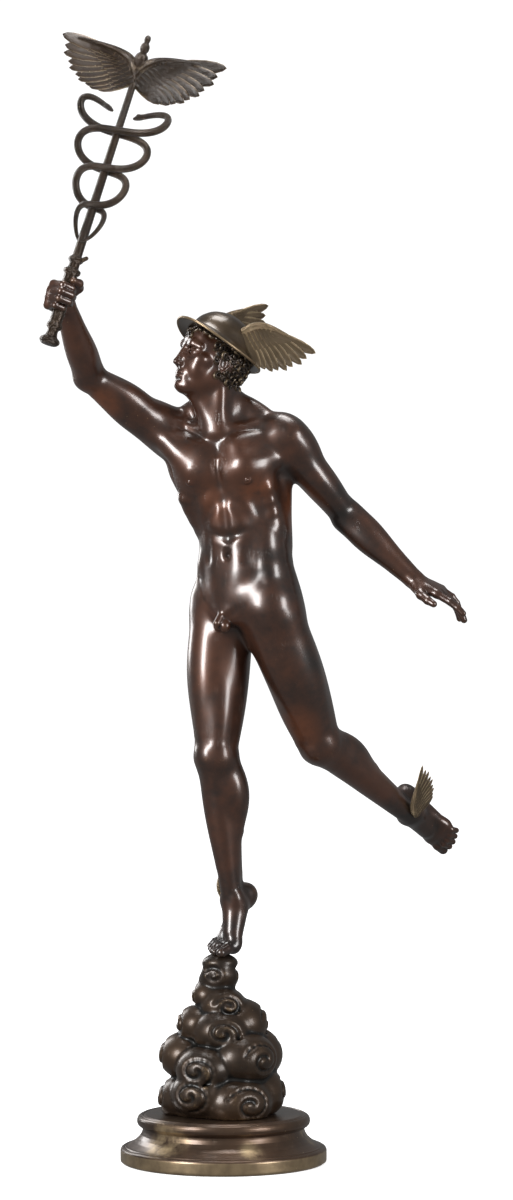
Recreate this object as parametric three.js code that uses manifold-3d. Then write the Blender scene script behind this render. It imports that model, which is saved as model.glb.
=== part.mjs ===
// A bronze messenger statuette: a young man in a winged hat strides off a bank of cloud and
// lifts a winged staff with two snakes. He stands on the ball of his right foot, and his left
// leg and left arm trail behind him. The cloud rises from a low round moulded base.
//
// The frame is in millimetres, +Z up. The origin is the middle of the base's underside, the
// figure looks towards -Y and -X, and his right hand is on the -X side.
//
// The body is modelled as a carver's clay: rounded masses that blend into each other, each
// placed on a skeleton. Their sizes are in hundredths of the figure's standing height.

import * as THREE from "three";
import { mergeVertices } from "three/addons/utils/BufferGeometryUtils.js";
import Module from "manifold-3d";

// Driving dimensions, in millimetres.
const FIGURE_HEIGHT = 440; // of the man standing straight
const BASE_RADIUS = 73;
const BASE_HEIGHT = 34;
const FOOT_HEIGHT = 146; // where the ball of the standing foot rests
const FOOT_PLACE = [-3, 2]; // X and Y of that ball
const SEAT_GAP = 0.3; // left between pieces that rest on or in each other

const U = FIGURE_HEIGHT / 100; // one hundredth of the standing height

// How finely the clay is sampled, in hundredths, and how many faces each solid keeps.
const BODY_SAMPLE = 0.34;
const BODY_FACES = 3750;
const CLOUD_SAMPLE = 0.5;
const CLOUD_FACES = 900;

const wasm = await Module();
wasm.setup();

// Vectors

const vec = (x = 0, y = 0, z = 0) => new THREE.Vector3(x, y, z);
const unit = (v) => v.clone().normalize();
const sum = (...vs) => vs.reduce((total, v) => total.add(v), vec(0, 0, 0));
const scaled = (v, k) => v.clone().multiplyScalar(k);
const mixed = (a, b, t) => a.clone().lerp(b, t);
const square = (v, along) => v.clone().addScaledVector(along, -v.dot(along)); // the part of v across along
const cross = (a, b) => new THREE.Vector3().crossVectors(a, b);
const rad = (degrees) => (degrees * Math.PI) / 180;

// Three axes, to the figure's left, to its back and up, turned by yaw, pitch and roll in degrees.
function turned(yaw, pitch = 0, roll = 0) {
  const m = new THREE.Matrix4()
    .makeRotationZ(rad(yaw))
    .multiply(new THREE.Matrix4().makeRotationX(rad(pitch)))
    .multiply(new THREE.Matrix4().makeRotationY(rad(roll)));
  return [vec(1, 0, 0), vec(0, 1, 0), vec(0, 0, 1)].map((a) => a.transformDirection(m));
}

// The point at (x, y, z) along three axes.
const along = (axes, x, y, z) => sum(scaled(axes[0], x), scaled(axes[1], y), scaled(axes[2], z));

// Axes that are tilted again within their own frame.
function tilted(axes, yaw = 0, pitch = 0, roll = 0) {
  return turned(yaw, pitch, roll).map((a) => along(axes, a.x, a.y, a.z));
}

// Clay shapes. Each has the box that holds it and the distance of a point from its surface.

// A rounded spindle from a to b, with a belly between its two end radii.
function spindle(a, b, startRadius, endRadius, belly = 0) {
  const [dx, dy, dz] = [b.x - a.x, b.y - a.y, b.z - a.z];
  const lengthSquared = dx * dx + dy * dy + dz * dz;
  const reach = Math.max(startRadius, endRadius) + belly;
  return {
    low: vec(Math.min(a.x, b.x), Math.min(a.y, b.y), Math.min(a.z, b.z)).addScalar(-reach),
    high: vec(Math.max(a.x, b.x), Math.max(a.y, b.y), Math.max(a.z, b.z)).addScalar(reach),
    distance(x, y, z) {
      const [px, py, pz] = [x - a.x, y - a.y, z - a.z];
      const t = Math.min(1, Math.max(0, (px * dx + py * dy + pz * dz) / lengthSquared));
      const radius = startRadius + (endRadius - startRadius) * t + belly * Math.sin(Math.PI * t);
      return Math.hypot(px - dx * t, py - dy * t, pz - dz * t) - radius;
    },
  };
}

// An ellipsoid with its radii along three axes.
function lump(centre, radii, axes) {
  const [rx, ry, rz] = radii;
  const [ax, ay, az] = axes;
  const reach = (k) => Math.hypot(ax[k] * rx, ay[k] * ry, az[k] * rz);
  const extent = vec(reach("x"), reach("y"), reach("z"));
  return {
    low: centre.clone().sub(extent),
    high: centre.clone().add(extent),
    distance(x, y, z) {
      const [px, py, pz] = [x - centre.x, y - centre.y, z - centre.z];
      const qx = (px * ax.x + py * ax.y + pz * ax.z) / rx;
      const qy = (px * ay.x + py * ay.y + pz * ay.z) / ry;
      const qz = (px * az.x + py * az.y + pz * az.z) / rz;
      const k = Math.hypot(qx, qy, qz);
      return (k * (k - 1)) / Math.max(Math.hypot(qx / rx, qy / ry, qz / rz), 1e-6);
    },
  };
}

// A body of clay: shapes pressed together one after another.
class Clay {
  constructor() {
    this.steps = [];
  }

  add(shape, blend) {
    this.steps.push({ shape, blend, sign: 1 });
  }

  carve(shape, blend) {
    this.steps.push({ shape, blend, sign: -1 });
  }

  near(low, high) {
    return this.steps.filter(({ shape, blend }) => {
      const reach = 1.6 * blend + 1;
      return ["x", "y", "z"].every((k) => shape.low[k] - reach < high[k] && shape.high[k] + reach > low[k]);
    });
  }

  static value(steps, x, y, z) {
    let out = 9;
    for (const { shape, blend, sign } of steps) {
      const d = sign * shape.distance(x, y, z);
      const fillet = Math.max(blend - Math.abs(out - d), 0) / blend;
      out = (sign > 0 ? Math.min(out, d) : Math.max(out, d)) - (sign * fillet * fillet * blend) / 4;
    }
    return out;
  }
}

// The skin of the clay as quads round every grid edge that crosses it, in bricks of cells.
function skinOf(clay, sample) {
  const CELLS = 16;
  const brick = CELLS * sample;
  const reach = (brick * Math.sqrt(3)) / 2;
  const low = vec(1e9, 1e9, 1e9);
  const high = vec(-1e9, -1e9, -1e9);
  for (const { shape, sign } of clay.steps) {
    if (sign > 0) {
      low.min(shape.low);
      high.max(shape.high);
    }
  }
  low.subScalar(2 * sample);
  high.addScalar(2 * sample);
  const counts = high.clone().sub(low).divideScalar(brick).ceil();
  const stride = [counts.x, counts.y, counts.z].map((n) => n * CELLS + 2);
  const key = (i, j, k) => (i * stride[1] + j) * stride[2] + k;
  const vertexAt = new Map();
  const points = [];
  const quads = [];
  const side = CELLS + 1;
  const values = new Float64Array(side ** 3);
  const at = (i, j, k) => values[(i * side + j) * side + k];

  const readCell = (i, j, k, base, origin) => {
    let [x, y, z, hits] = [0, 0, 0, 0];
    const visit = (a, b) => {
      const [fa, fb] = [at(i + a[0], j + a[1], k + a[2]), at(i + b[0], j + b[1], k + b[2])];
      if (fa < 0 === fb < 0) return;
      const t = fa / (fa - fb);
      x += a[0] + (b[0] - a[0]) * t;
      y += a[1] + (b[1] - a[1]) * t;
      z += a[2] + (b[2] - a[2]) * t;
      hits += 1;
    };
    for (const u of [0, 1]) {
      for (const v of [0, 1]) {
        visit([0, u, v], [1, u, v]);
        visit([u, 0, v], [u, 1, v]);
        visit([u, v, 0], [u, v, 1]);
      }
    }
    if (!hits) return;
    vertexAt.set(key(base[0] + i, base[1] + j, base[2] + k), points.length);
    points.push(
      vec(
        origin.x + (i + x / hits) * sample,
        origin.y + (j + y / hits) * sample,
        origin.z + (k + z / hits) * sample,
      ),
    );
  };

  const readEdges = (i, j, k, base) => {
    const inside = at(i, j, k) < 0;
    const ends = [at(i + 1, j, k), at(i, j + 1, k), at(i, j, k + 1)];
    ends.forEach((value, axis) => {
      if (value < 0 === inside) return;
      const [u, v] = [(axis + 1) % 3, (axis + 2) % 3];
      const ring = [
        [1, 1],
        [0, 1],
        [0, 0],
        [1, 0],
      ].map(([du, dv]) => {
        const cell = [base[0] + i, base[1] + j, base[2] + k];
        cell[u] -= du;
        cell[v] -= dv;
        return key(...cell);
      });
      quads.push(inside ? ring : ring.reverse());
    });
  };

  for (let bi = 0; bi < counts.x; bi++) {
    for (let bj = 0; bj < counts.y; bj++) {
      for (let bk = 0; bk < counts.z; bk++) {
        const origin = vec(bi, bj, bk).multiplyScalar(brick).add(low);
        const steps = clay.near(origin, origin.clone().addScalar(brick));
        if (!steps.some((step) => step.sign > 0)) continue;
        const middle = origin.clone().addScalar(brick / 2);
        if (Math.abs(Clay.value(steps, middle.x, middle.y, middle.z)) > 2 * reach + 1) continue;
        for (let i = 0, n = 0; i < side; i++) {
          for (let j = 0; j < side; j++) {
            for (let k = 0; k < side; k++, n++) {
              values[n] = Clay.value(
                steps,
                origin.x + i * sample,
                origin.y + j * sample,
                origin.z + k * sample,
              );
            }
          }
        }
        if (values.every((value) => value < 0) || values.every((value) => value >= 0)) continue;
        const base = [bi * CELLS, bj * CELLS, bk * CELLS];
        for (let i = 0; i < CELLS; i++) {
          for (let j = 0; j < CELLS; j++) {
            for (let k = 0; k < CELLS; k++) {
              readCell(i, j, k, base, origin);
              readEdges(i, j, k, base);
            }
          }
        }
      }
    }
  }
  const faces = [];
  for (const quad of quads) {
    const [a, b, c, d] = quad.map((cell) => vertexAt.get(cell));
    faces.push([a, b, c], [a, c, d]);
  }
  return { points, faces };
}

// Simplification: edges are closed up in the order of the error that it costs.

// A heap of edges, cheapest first.
class EdgeHeap {
  constructor() {
    this.items = [];
  }

  push(item) {
    const list = this.items;
    let i = list.push(item) - 1;
    while (i > 0) {
      const parent = (i - 1) >> 1;
      if (list[parent].cost <= item.cost) break;
      list[i] = list[parent];
      i = parent;
    }
    list[i] = item;
  }

  pop() {
    const list = this.items;
    const top = list[0];
    const last = list.pop();
    if (!list.length) return top;
    let i = 0;
    for (;;) {
      let child = 2 * i + 1;
      if (child >= list.length) break;
      if (child + 1 < list.length && list[child + 1].cost < list[child].cost) child += 1;
      if (list[child].cost >= last.cost) break;
      list[i] = list[child];
      i = child;
    }
    list[i] = last;
    return top;
  }
}

// The squared distance from planes, kept as the ten numbers of a symmetric matrix.
class Quadric {
  constructor() {
    this.q = new Float64Array(10);
  }

  addPlane(n, d, weight) {
    const row = [n.x * n.x, n.x * n.y, n.x * n.z, n.x * d, n.y * n.y, n.y * n.z, n.y * d, n.z * n.z, n.z * d, d * d];
    row.forEach((value, i) => (this.q[i] += value * weight));
  }

  plus(other) {
    const made = new Quadric();
    made.q.forEach((_, i) => (made.q[i] = this.q[i] + other.q[i]));
    return made;
  }

  cost(p) {
    const q = this.q;
    return (
      q[0] * p.x * p.x + 2 * q[1] * p.x * p.y + 2 * q[2] * p.x * p.z + 2 * q[3] * p.x +
      q[4] * p.y * p.y + 2 * q[5] * p.y * p.z + 2 * q[6] * p.y +
      q[7] * p.z * p.z + 2 * q[8] * p.z + q[9]
    );
  }

  // The point of least cost, or null where the planes don't settle one.
  best() {
    const q = this.q;
    const m = new THREE.Matrix3().set(q[0], q[1], q[2], q[1], q[4], q[5], q[2], q[5], q[7]);
    const size = q[0] + q[4] + q[7];
    if (Math.abs(m.determinant()) < 1e-4 * size ** 3) return null;
    return vec(-q[3], -q[6], -q[8]).applyMatrix3(m.invert());
  }
}

// The skin with fewer faces. A closed surface stays closed, and no face turns over.
function simplified({ points, faces }, budget) {
  const around = points.map(() => new Set());
  const quadrics = points.map(() => new Quadric());
  const stamps = new Int32Array(points.length);
  const alive = faces.map(() => true);
  let count = faces.length;
  const normalOf = ([a, b, c], swap = -1, place = null) => {
    const [pa, pb, pc] = [a, b, c].map((v) => (v === swap ? place : points[v]));
    return cross(pb.clone().sub(pa), pc.clone().sub(pa));
  };
  faces.forEach((face, f) => {
    const normal = normalOf(face);
    const area = normal.length() / 2;
    if (area > 0) normal.normalize();
    for (const v of face) {
      around[v].add(f);
      quadrics[v].addPlane(normal, -normal.dot(points[face[0]]), area);
    }
  });
  const ring = (v) => {
    const found = new Set();
    for (const f of around[v]) for (const w of faces[f]) if (w !== v) found.add(w);
    return found;
  };
  const heap = new EdgeHeap();
  const offer = (a, b) => {
    const both = quadrics[a].plus(quadrics[b]);
    const middle = mixed(points[a], points[b], 0.5);
    const span = points[a].distanceTo(points[b]);
    let place = both.best();
    if (!place || place.distanceTo(middle) > span) {
      place = [points[a], points[b], middle].reduce((p, q) => (both.cost(q) < both.cost(p) ? q : p));
    }
    const cost = Math.max(both.cost(place), 0) + 1e-6 * span * span;
    heap.push({ a, b, place: place.clone(), cost, stampA: stamps[a], stampB: stamps[b] });
  };
  points.forEach((_, v) => ring(v).forEach((w) => w > v && offer(v, w)));

  const turnsOver = (v, other, place) =>
    [...around[v]].some((f) => {
      if (faces[f].includes(other)) return false;
      const before = normalOf(faces[f]);
      const after = normalOf(faces[f], v, place);
      return before.dot(after) < 0.25 * before.length() * after.length();
    });

  while (count > budget && heap.items.length) {
    const { a, b, place, stampA, stampB } = heap.pop();
    if (stamps[a] !== stampA || stamps[b] !== stampB) continue;
    const ringA = ring(a);
    const shared = [...ring(b)].filter((v) => ringA.has(v));
    if (shared.length !== 2 || turnsOver(a, b, place) || turnsOver(b, a, place)) continue;
    quadrics[a] = quadrics[a].plus(quadrics[b]);
    points[a] = place;
    for (const f of [...around[b]]) {
      if (faces[f].includes(a)) {
        alive[f] = false;
        count -= 1;
        for (const v of faces[f]) around[v].delete(f);
      } else {
        faces[f] = faces[f].map((v) => (v === b ? a : v));
        around[a].add(f);
      }
    }
    around[b].clear();
    stamps[a] += 1;
    stamps[b] = -1;
    ring(a).forEach((w) => {
      offer(a, w);
    });
  }
  return { points, faces: faces.filter((_, f) => alive[f]) };
}

// The skeleton, in hundredths of the standing height from the ball of the standing foot.
function makeSkeleton() {
  const pelvisAxes = turned(-42, -4, 5);
  const chestAxes = turned(-16, 6, -7);
  const headAxes = turned(-62, -15, 2);
  const toe = unit(vec(-0.66, -0.75, 0));
  const left = pelvisAxes[0];
  const back = unit(vec(pelvisAxes[1].x, pelvisAxes[1].y, 0));
  const step = (from, length, x, y, z) => from.clone().addScaledVector(unit(vec(x, y, z)), length);
  const toward = (from, length, way) => from.clone().addScaledVector(unit(way), length);

  const ankleRight = sum(scaled(toe, -3.1), vec(0, 0, 8.4));
  const kneeRight = toward(ankleRight, 24, sum(scaled(toe, 0.17), vec(0, 0, 1)));
  const hipRight = toward(kneeRight, 24.5, sum(scaled(toe, -0.11), vec(-0.03, 0, 1)));
  const pelvis = sum(hipRight, scaled(left, 5));
  const hipLeft = sum(pelvis, scaled(left, 5));
  const kneeLeft = toward(hipLeft, 24.5, sum(scaled(back, 0.46), scaled(left, 0.05), vec(0, 0, -0.88)));
  const ankleLeft = toward(kneeLeft, 24, sum(scaled(back, 0.84), scaled(left, 0.1), vec(0, 0, -0.5)));

  const chest = sum(pelvis, vec(-2.4, -0.6, 19.8));
  const neck = sum(chest, along(chestAxes, 0, 0.3, 9));
  const head = sum(neck, vec(-1.9, -1.5, 10.8));
  const shoulderRight = sum(chest, along(chestAxes, -8.9, 0.2, 8.9));
  const shoulderLeft = sum(chest, along(chestAxes, 9.7, 0.9, 6.3));
  const elbowRight = step(shoulderRight, 17.2, -0.72, -0.4, 0.52);
  const wristRight = step(elbowRight, 15, -0.22, -0.66, 0.72);
  const elbowLeft = step(shoulderLeft, 17.2, 0.6, 0.3, -0.74);
  const wristLeft = step(elbowLeft, 15, 0.72, -0.12, -0.68);
  const staffWay = unit(vec(0.3, 0.12, 0.95));
  return {
    pelvisAxes, chestAxes, headAxes, toe, pelvis, chest, neck, head, staffWay,
    right: { hip: hipRight, knee: kneeRight, ankle: ankleRight, shoulder: shoulderRight, elbow: elbowRight, wrist: wristRight },
    left: { hip: hipLeft, knee: kneeLeft, ankle: ankleLeft, shoulder: shoulderLeft, elbow: elbowLeft, wrist: wristLeft },
  };
}

const CHEST_RISE = 19.8; // from the hips to the middle of the chest
const bones = makeSkeleton();

// How much of a height on the trunk turns with the chest: 0 at the hips, 1 from the chest up.
function chestShare(z) {
  const t = Math.min(Math.max(z / CHEST_RISE, 0), 1);
  return t * t * (3 - 2 * t);
}

// A point of the trunk, from its left, back and height above the hips when it stands straight.
function torso(x, y, z) {
  const low = sum(bones.pelvis, along(bones.pelvisAxes, x, y, z));
  const high = sum(bones.chest, along(bones.chestAxes, x, y, z - CHEST_RISE));
  return mixed(low, high, chestShare(z));
}

function torsoAxes(z) {
  const [side, , up] = bones.pelvisAxes.map((a, i) => mixed(a, bones.chestAxes[i], chestShare(z)));
  const x = unit(side);
  const top = unit(square(up, x));
  return [x, cross(top, x), top];
}

// A straight bone with a front and an outer side, which muscles are placed on: how far along it,
// how far to its front and how far to its outer side.
function bone(start, end, front, outer) {
  const way = unit(end.clone().sub(start));
  const ahead = unit(square(front, way));
  const side = unit(square(square(outer, way), ahead));
  return {
    way,
    front: ahead,
    side,
    axes: [side, ahead, way],
    at: (t, f = 0, s = 0) => mixed(start, end, t).addScaledVector(ahead, f).addScaledVector(side, s),
  };
}

// Muscles as [start, end, start radius, end radius, belly, blend], each end as along, front, side.
const THIGH = [
  [[-0.02, -0.2, 0.2], [1, 0, 0], 4.5, 2.9, 0.5, 2],
  [[0.06, 1.8, 0.5], [0.84, 1.4, 0.2], 2.1, 1.5, 1.4, 1.4],
  [[0.08, 0.3, 2.3], [0.84, 0.6, 1.6], 2.2, 1.2, 1.1, 1.4],
  [[0.46, 1.1, -1.5], [0.92, 1.3, -1.6], 1.5, 1.35, 0.5, 1],
  [[0.04, -0.4, -2.2], [0.62, -0.2, -1.4], 2.7, 1.3, 0.5, 1.4],
  [[0.06, -2.2, 0.9], [0.97, -1.2, 1.7], 2.1, 0.85, 1, 1.2],
  [[0.06, -2.1, -0.9], [0.99, -1.2, -1.6], 1.9, 0.85, 0.9, 1.2],
];
const SHIN = [
  [[0.02, 0, 0], [0.98, 0, 0], 2.6, 1.55, 0, 1.5],
  [[0.12, 1.15, -0.3], [0.92, 0.55, -0.35], 1.25, 0.85, 0, 1],
  [[0.1, 0.9, 1.1], [0.74, 0.7, 0.3], 1.2, 0.8, 0.5, 1],
  [[0.1, 0, 1.7], [0.72, -0.3, 0.9], 1.1, 0.8, 0.35, 1],
  [[0.02, -1.3, -1.2], [0.52, -1.7, -1], 1.6, 1.1, 1.35, 1],
  [[0.02, -1.2, 1.3], [0.47, -1.6, 1.1], 1.5, 1, 1.1, 1],
  [[0.22, -1, 0], [0.8, -1.1, 0], 2.1, 1, 0.4, 1],
  [[0.55, -1.5, 0], [0.97, -1.9, 0], 0.9, 0.75, 0, 0.9],
];
const UPPER_ARM = [
  [[0, 0, 0], [1, 0, 0], 2.8, 1.95, 0.1, 1.8],
  [[0.03, 1.3, 0.9], [0.45, 0.6, 0.9], 2, 1, 0.4, 1],
  [[0.03, -1.2, 0.9], [0.45, -0.4, 1], 2, 1, 0.4, 1],
  [[0.2, 1.1, -0.1], [0.94, 0.8, 0], 1.5, 0.95, 1, 0.9],
  [[0.14, -1, 0.3], [0.74, -0.9, 0.4], 1.5, 0.9, 0.8, 0.9],
  [[0.16, -1, -0.6], [0.84, -0.8, -0.5], 1.4, 0.9, 0.6, 0.9],
];
const FOREARM = [
  [[0, 0, 0], [1, 0, 0], 1.95, 1.4, 0.25, 1.2],
  [[-0.1, 0.6, 1], [0.68, 0.3, 0.5], 1.1, 0.75, 0.75, 0.9],
  [[0, 0.3, -0.9], [0.7, 0.3, -0.4], 1.2, 0.8, 0.7, 0.9],
  [[0.03, -0.7, 0.4], [0.72, -0.4, 0.2], 1.1, 0.8, 0.5, 0.9],
];

function addMuscles(clay, on, muscles, bulk) {
  const end = ([t, front, side]) => on.at(t, front * bulk, side * bulk);
  for (const [from, to, startRadius, endRadius, belly, blend] of muscles) {
    clay.add(spindle(end(from), end(to), startRadius * bulk, endRadius * bulk, belly * bulk), blend);
  }
}

function addTrunk(clay) {
  const press = (x, y, z, radii, blend, yaw = 0, pitch = 0, roll = 0) =>
    clay.add(lump(torso(x, y, z), radii, tilted(torsoAxes(z), yaw, pitch, roll)), blend);
  const strap = (from, to, startRadius, endRadius, belly, blend) =>
    clay.add(
      spindle(
        Array.isArray(from) ? torso(...from) : from,
        Array.isArray(to) ? torso(...to) : to,
        startRadius, endRadius, belly,
      ),
      blend,
    );
  const groove = (from, to, radius, blend) =>
    clay.carve(spindle(torso(...from), torso(...to), radius, radius), blend);

  press(0, 0.3, 2.4, [7.9, 5.2, 6], 1);
  press(0, 0.1, 9.5, [6.9, 4.7, 7.5], 3);
  press(0, 0.3, 19.3, [8, 5.6, 9.2], 3);
  press(0, 0.9, 25.4, [7.4, 4.6, 4.8], 3);
  for (const m of [-1, 1]) {
    const limb = m < 0 ? bones.right : bones.left;
    const raised = m < 0 ? 2.2 : 0; // the raised arm draws the chest up
    const [side, behind, up] = bones.chestAxes;
    const from = (t, b) => mixed(limb.shoulder, limb.elbow, t).addScaledVector(behind, b);
    const shoulderTop = sum(limb.shoulder, scaled(up, 2), scaled(side, -m * 1.2));
    // flanks and the top of the hip bones
    press(m * 5.2, 0.1, 9.6, [2.1, 3.5, 4.8], 2.2);
    press(m * 5.7, -0.5, 6.9, [2.2, 3.4, 2.1], 1.6, 0, 0, m * 12);
    press(m * 6.5, -0.4, 4.4, [1.5, 2.4, 2.6], 2.2);
    // the back: long muscles by the spine, the broad muscle under the arm, the shoulder blade
    strap([m * 1.9, 3.9, 2], [m * 2.2, 4.3, 19], 1.5, 1.6, 0.3, 2.2);
    strap([m * 7.2, 2, 22.5], [m * 5, 2.4, 10], 2.7, 1.3, 0.5, 2.4);
    strap([m * 7, 2.2, 22], from(0.18, 0.8), 2.3, 1.3, 0.2, 2);
    press(m * 4.9, 4.3, 22.4 + 0.4 * raised, [2.7, 1.5, 4], 1.8, 0, 0, -m * 14);
    // the chest
    press(m * 3.9, -3.8, 21.9 + 0.35 * raised, [4.6, 2.35, 3.7], 1.4, m * 18, 0, m * 12);
    strap([m * 4.3, -4, 22.6 + 0.3 * raised], from(0.18, -0.9), 2.5, 1.7, 0.1, 1.6);
    strap([m * 3, -3.2, 25.6], sum(limb.shoulder, scaled(behind, -0.5)), 1.9, 1.9, 0, 1.9);
    // the collar bone and the sloping muscle of the neck
    strap([m, -3.2, 28.6], sum(shoulderTop, scaled(behind, -0.8)), 0.6, 0.65, 0, 1.1);
    strap([m * 0.9, 2.2, 33], sum(shoulderTop, scaled(behind, 0.6)), 2, 1.4, 0.5, 2.4);
    strap([m * 0.9, 2.8, 32], [m * 1.8, 4.3, 22], 1.6, 1.2, 0.3, 2);
    // the straight belly muscle, above and below the navel, and the muscle on the ribs
    strap([m * 1.75, -4.35, 17], [m * 1.6, -4.25, 6.5], 1.35, 1.35, 0, 1.4);
    strap([m * 1.6, -4.25, 6.5], [m * 0.9, -4.1, -1], 1.35, 1, 0, 1.4);
    strap([m * 6.6, -2.4, 18.6], [m * 6.2, 0.2, 12], 1.3, 0.9, 0.2, 2);
    // the seat
    press(m * 4.1, 3.3, -0.6, [4.2, 4, 4.9], 1.5);
    press(m * 6, 1.6, 2.6, [2.4, 3.2, 3.6], 2.2);
  }
  press(0, -2.9, 3.2, [4.4, 2.3, 4.6], 2);
  press(0, -3.5, -1, [2, 1.6, 1.6], 1.2);
  press(0, -4.6, -2.7, [1, 0.9, 1.15], 0.4);
  strap([0, -4.9, -1.6], [0, -5.5, -3.1], 0.5, 0.42, 0, 0.3);

  groove([0, -5.9, 22], [0, -5.5, 5], 0.25, 1.2);
  for (const [z, half] of [[14.4, 2.8], [8.2, 2.6]]) groove([-half, -5.5, z], [half, -5.5, z], 0.2, 1.2);
  for (const m of [-1, 1]) {
    groove([m * 3.6, -5.3, 13], [m * 3.2, -5.2, 4], 0.2, 1.2);
    groove([m * 6.9, -3.6, 4], [m * 2.4, -5.2, -1.8], 0.3, 1.3);
  }
  groove([0, 6.2, 26], [0, 5.4, 3], 0.4, 2);
  groove([0, 7.4, 1], [0, 6.6, -5], 0.5, 1.4);
}

// The hat sits far back on the head. Its own frame has the brim in the plane of X and Y.
const HAT_TILT = [0, -17, 0];
const HAT_PLACE = [0, 1, 2.75];
const hatAxes = tilted(bones.headAxes, ...HAT_TILT);
const onHat = (x, y, z) => sum(bones.head, along(bones.headAxes, ...HAT_PLACE), along(hatAxes, x, y, z));

function addNeckAndHead(clay) {
  const { head, headAxes } = bones;
  const at = (x, y, z) => sum(head, along(headAxes, x, y, z));
  const press = (x, y, z, radii, blend, yaw = 0, pitch = 0, roll = 0) =>
    clay.add(lump(at(x, y, z), radii, tilted(headAxes, yaw, pitch, roll)), blend);

  clay.add(spindle(torso(0, 0.6, 27), at(0, 1.6, -2.2), 3.4, 3.1), 1.8);
  for (const m of [-1, 1]) {
    clay.add(spindle(at(m * 2.7, 1.3, -3), torso(m * 0.7, -3.3, 28.4), 0.85, 0.6, 0.1), 1.6);
  }
  clay.add(spindle(at(0, -1.2, -6), torso(0, -2.6, 28.5), 1.4, 1.1), 1.4);

  press(0, 0.8, 1.6, [4.1, 5.1, 4.5], 1);
  press(0, -1.6, -1.8, [3.25, 3.3, 4.2], 1.8);
  press(0, -3.75, -5.25, [1.3, 1.05, 1], 1);
  press(0, -3.1, 2.5, [2.9, 1.55, 2.2], 1.2);
  for (const m of [-1, 1]) {
    clay.add(spindle(at(m * 3.1, 0.9, -2.3), at(m * 1.3, -3.1, -5.2), 0.95, 0.8), 1.5);
    press(m * 2.15, -2.95, -1.7, [1.4, 1.25, 1.9], 1.5);
    clay.carve(lump(at(m * 1.75, -4.75, 0.1), [1.05, 0.65, 0.75], headAxes), 0.8);
    press(m * 1.7, -3.6, 0, [0.92, 0.92, 0.86], 0.4);
    clay.add(spindle(at(m * 0.6, -4.6, 1.15), at(m * 2.8, -3.75, 1.15), 0.38, 0.3), 0.8);
    press(m * 0.6, -5.15, -2.15, [0.42, 0.5, 0.4], 0.3);
  }
  clay.add(spindle(at(0, -4.5, 1.2), at(0, -5.8, -1.95), 0.4, 0.45), 0.6);
  press(0, -4.6, -3.4, [1.15, 0.5, 0.34], 0.3);
  press(0, -4.55, -4, [0.95, 0.52, 0.38], 0.3);

  // hair: a mass under the hat and curls round its edge, from the forehead to the nape
  press(0, 2, 0.3, [4.25, 4.4, 4], 0.6);
  const CURL_ROWS = [[-0.7, 180, 15], [-2.2, 118, 9], [-3.7, 78, 6]]; // below the brim, half the sweep, curls
  for (const [drop, sweep, count] of CURL_ROWS) {
    for (let i = 0; i < count; i++) {
      const angle = rad(-sweep + (2 * sweep * (i + 0.5)) / count);
      const away = 4.2 + 0.12 * drop;
      const place = onHat(Math.sin(angle) * away, Math.cos(angle) * away * 1.12, drop);
      clay.add(lump(place, [1.15, 1.15, 1.05], headAxes), 0.5);
    }
  }
}

// One leg. The kneecap looks the way of front; side is -1 for the figure's right and 1 for its left.
function addLeg(clay, { hip, knee, ankle }, side, front) {
  const outer = scaled(bones.pelvisAxes[0], side);
  const thigh = bone(hip, knee, front, outer);
  const shin = bone(knee, ankle, front, outer);
  addMuscles(clay, thigh, THIGH, 1.07);
  clay.add(lump(sum(hip, scaled(thigh.side, 2), scaled(thigh.way, 0.6)), [2.6, 3.2, 3.8], thigh.axes), 2.5);
  clay.add(lump(sum(knee, scaled(thigh.front, 0.1)), [3.15, 3, 3.3], shin.axes), 1.4);
  const kneecap = sum(knee, scaled(unit(sum(thigh.front, shin.front)), 2.3), scaled(shin.way, -0.3));
  clay.add(lump(kneecap, [1.45, 1.05, 1.6], shin.axes), 0.8);
  for (const m of [-1, 1]) {
    clay.add(lump(shin.at(0, -0.1, m * 1.75), [1.4, 2, 1.9], shin.axes), 1);
  }
  clay.add(spindle(shin.at(0.05, 2.1), shin.at(0.15, 1.6), 0.85, 0.8), 0.9);
  addMuscles(clay, shin, SHIN, 1.05);
  clay.add(lump(shin.at(0.99, -0.2, 1.35), [0.85, 0.95, 1.2], shin.axes), 0.7);
  clay.add(lump(shin.at(0.97, 0.2, -1.35), [0.85, 1.05, 1.2], shin.axes), 0.7);
  return shin;
}

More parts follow.
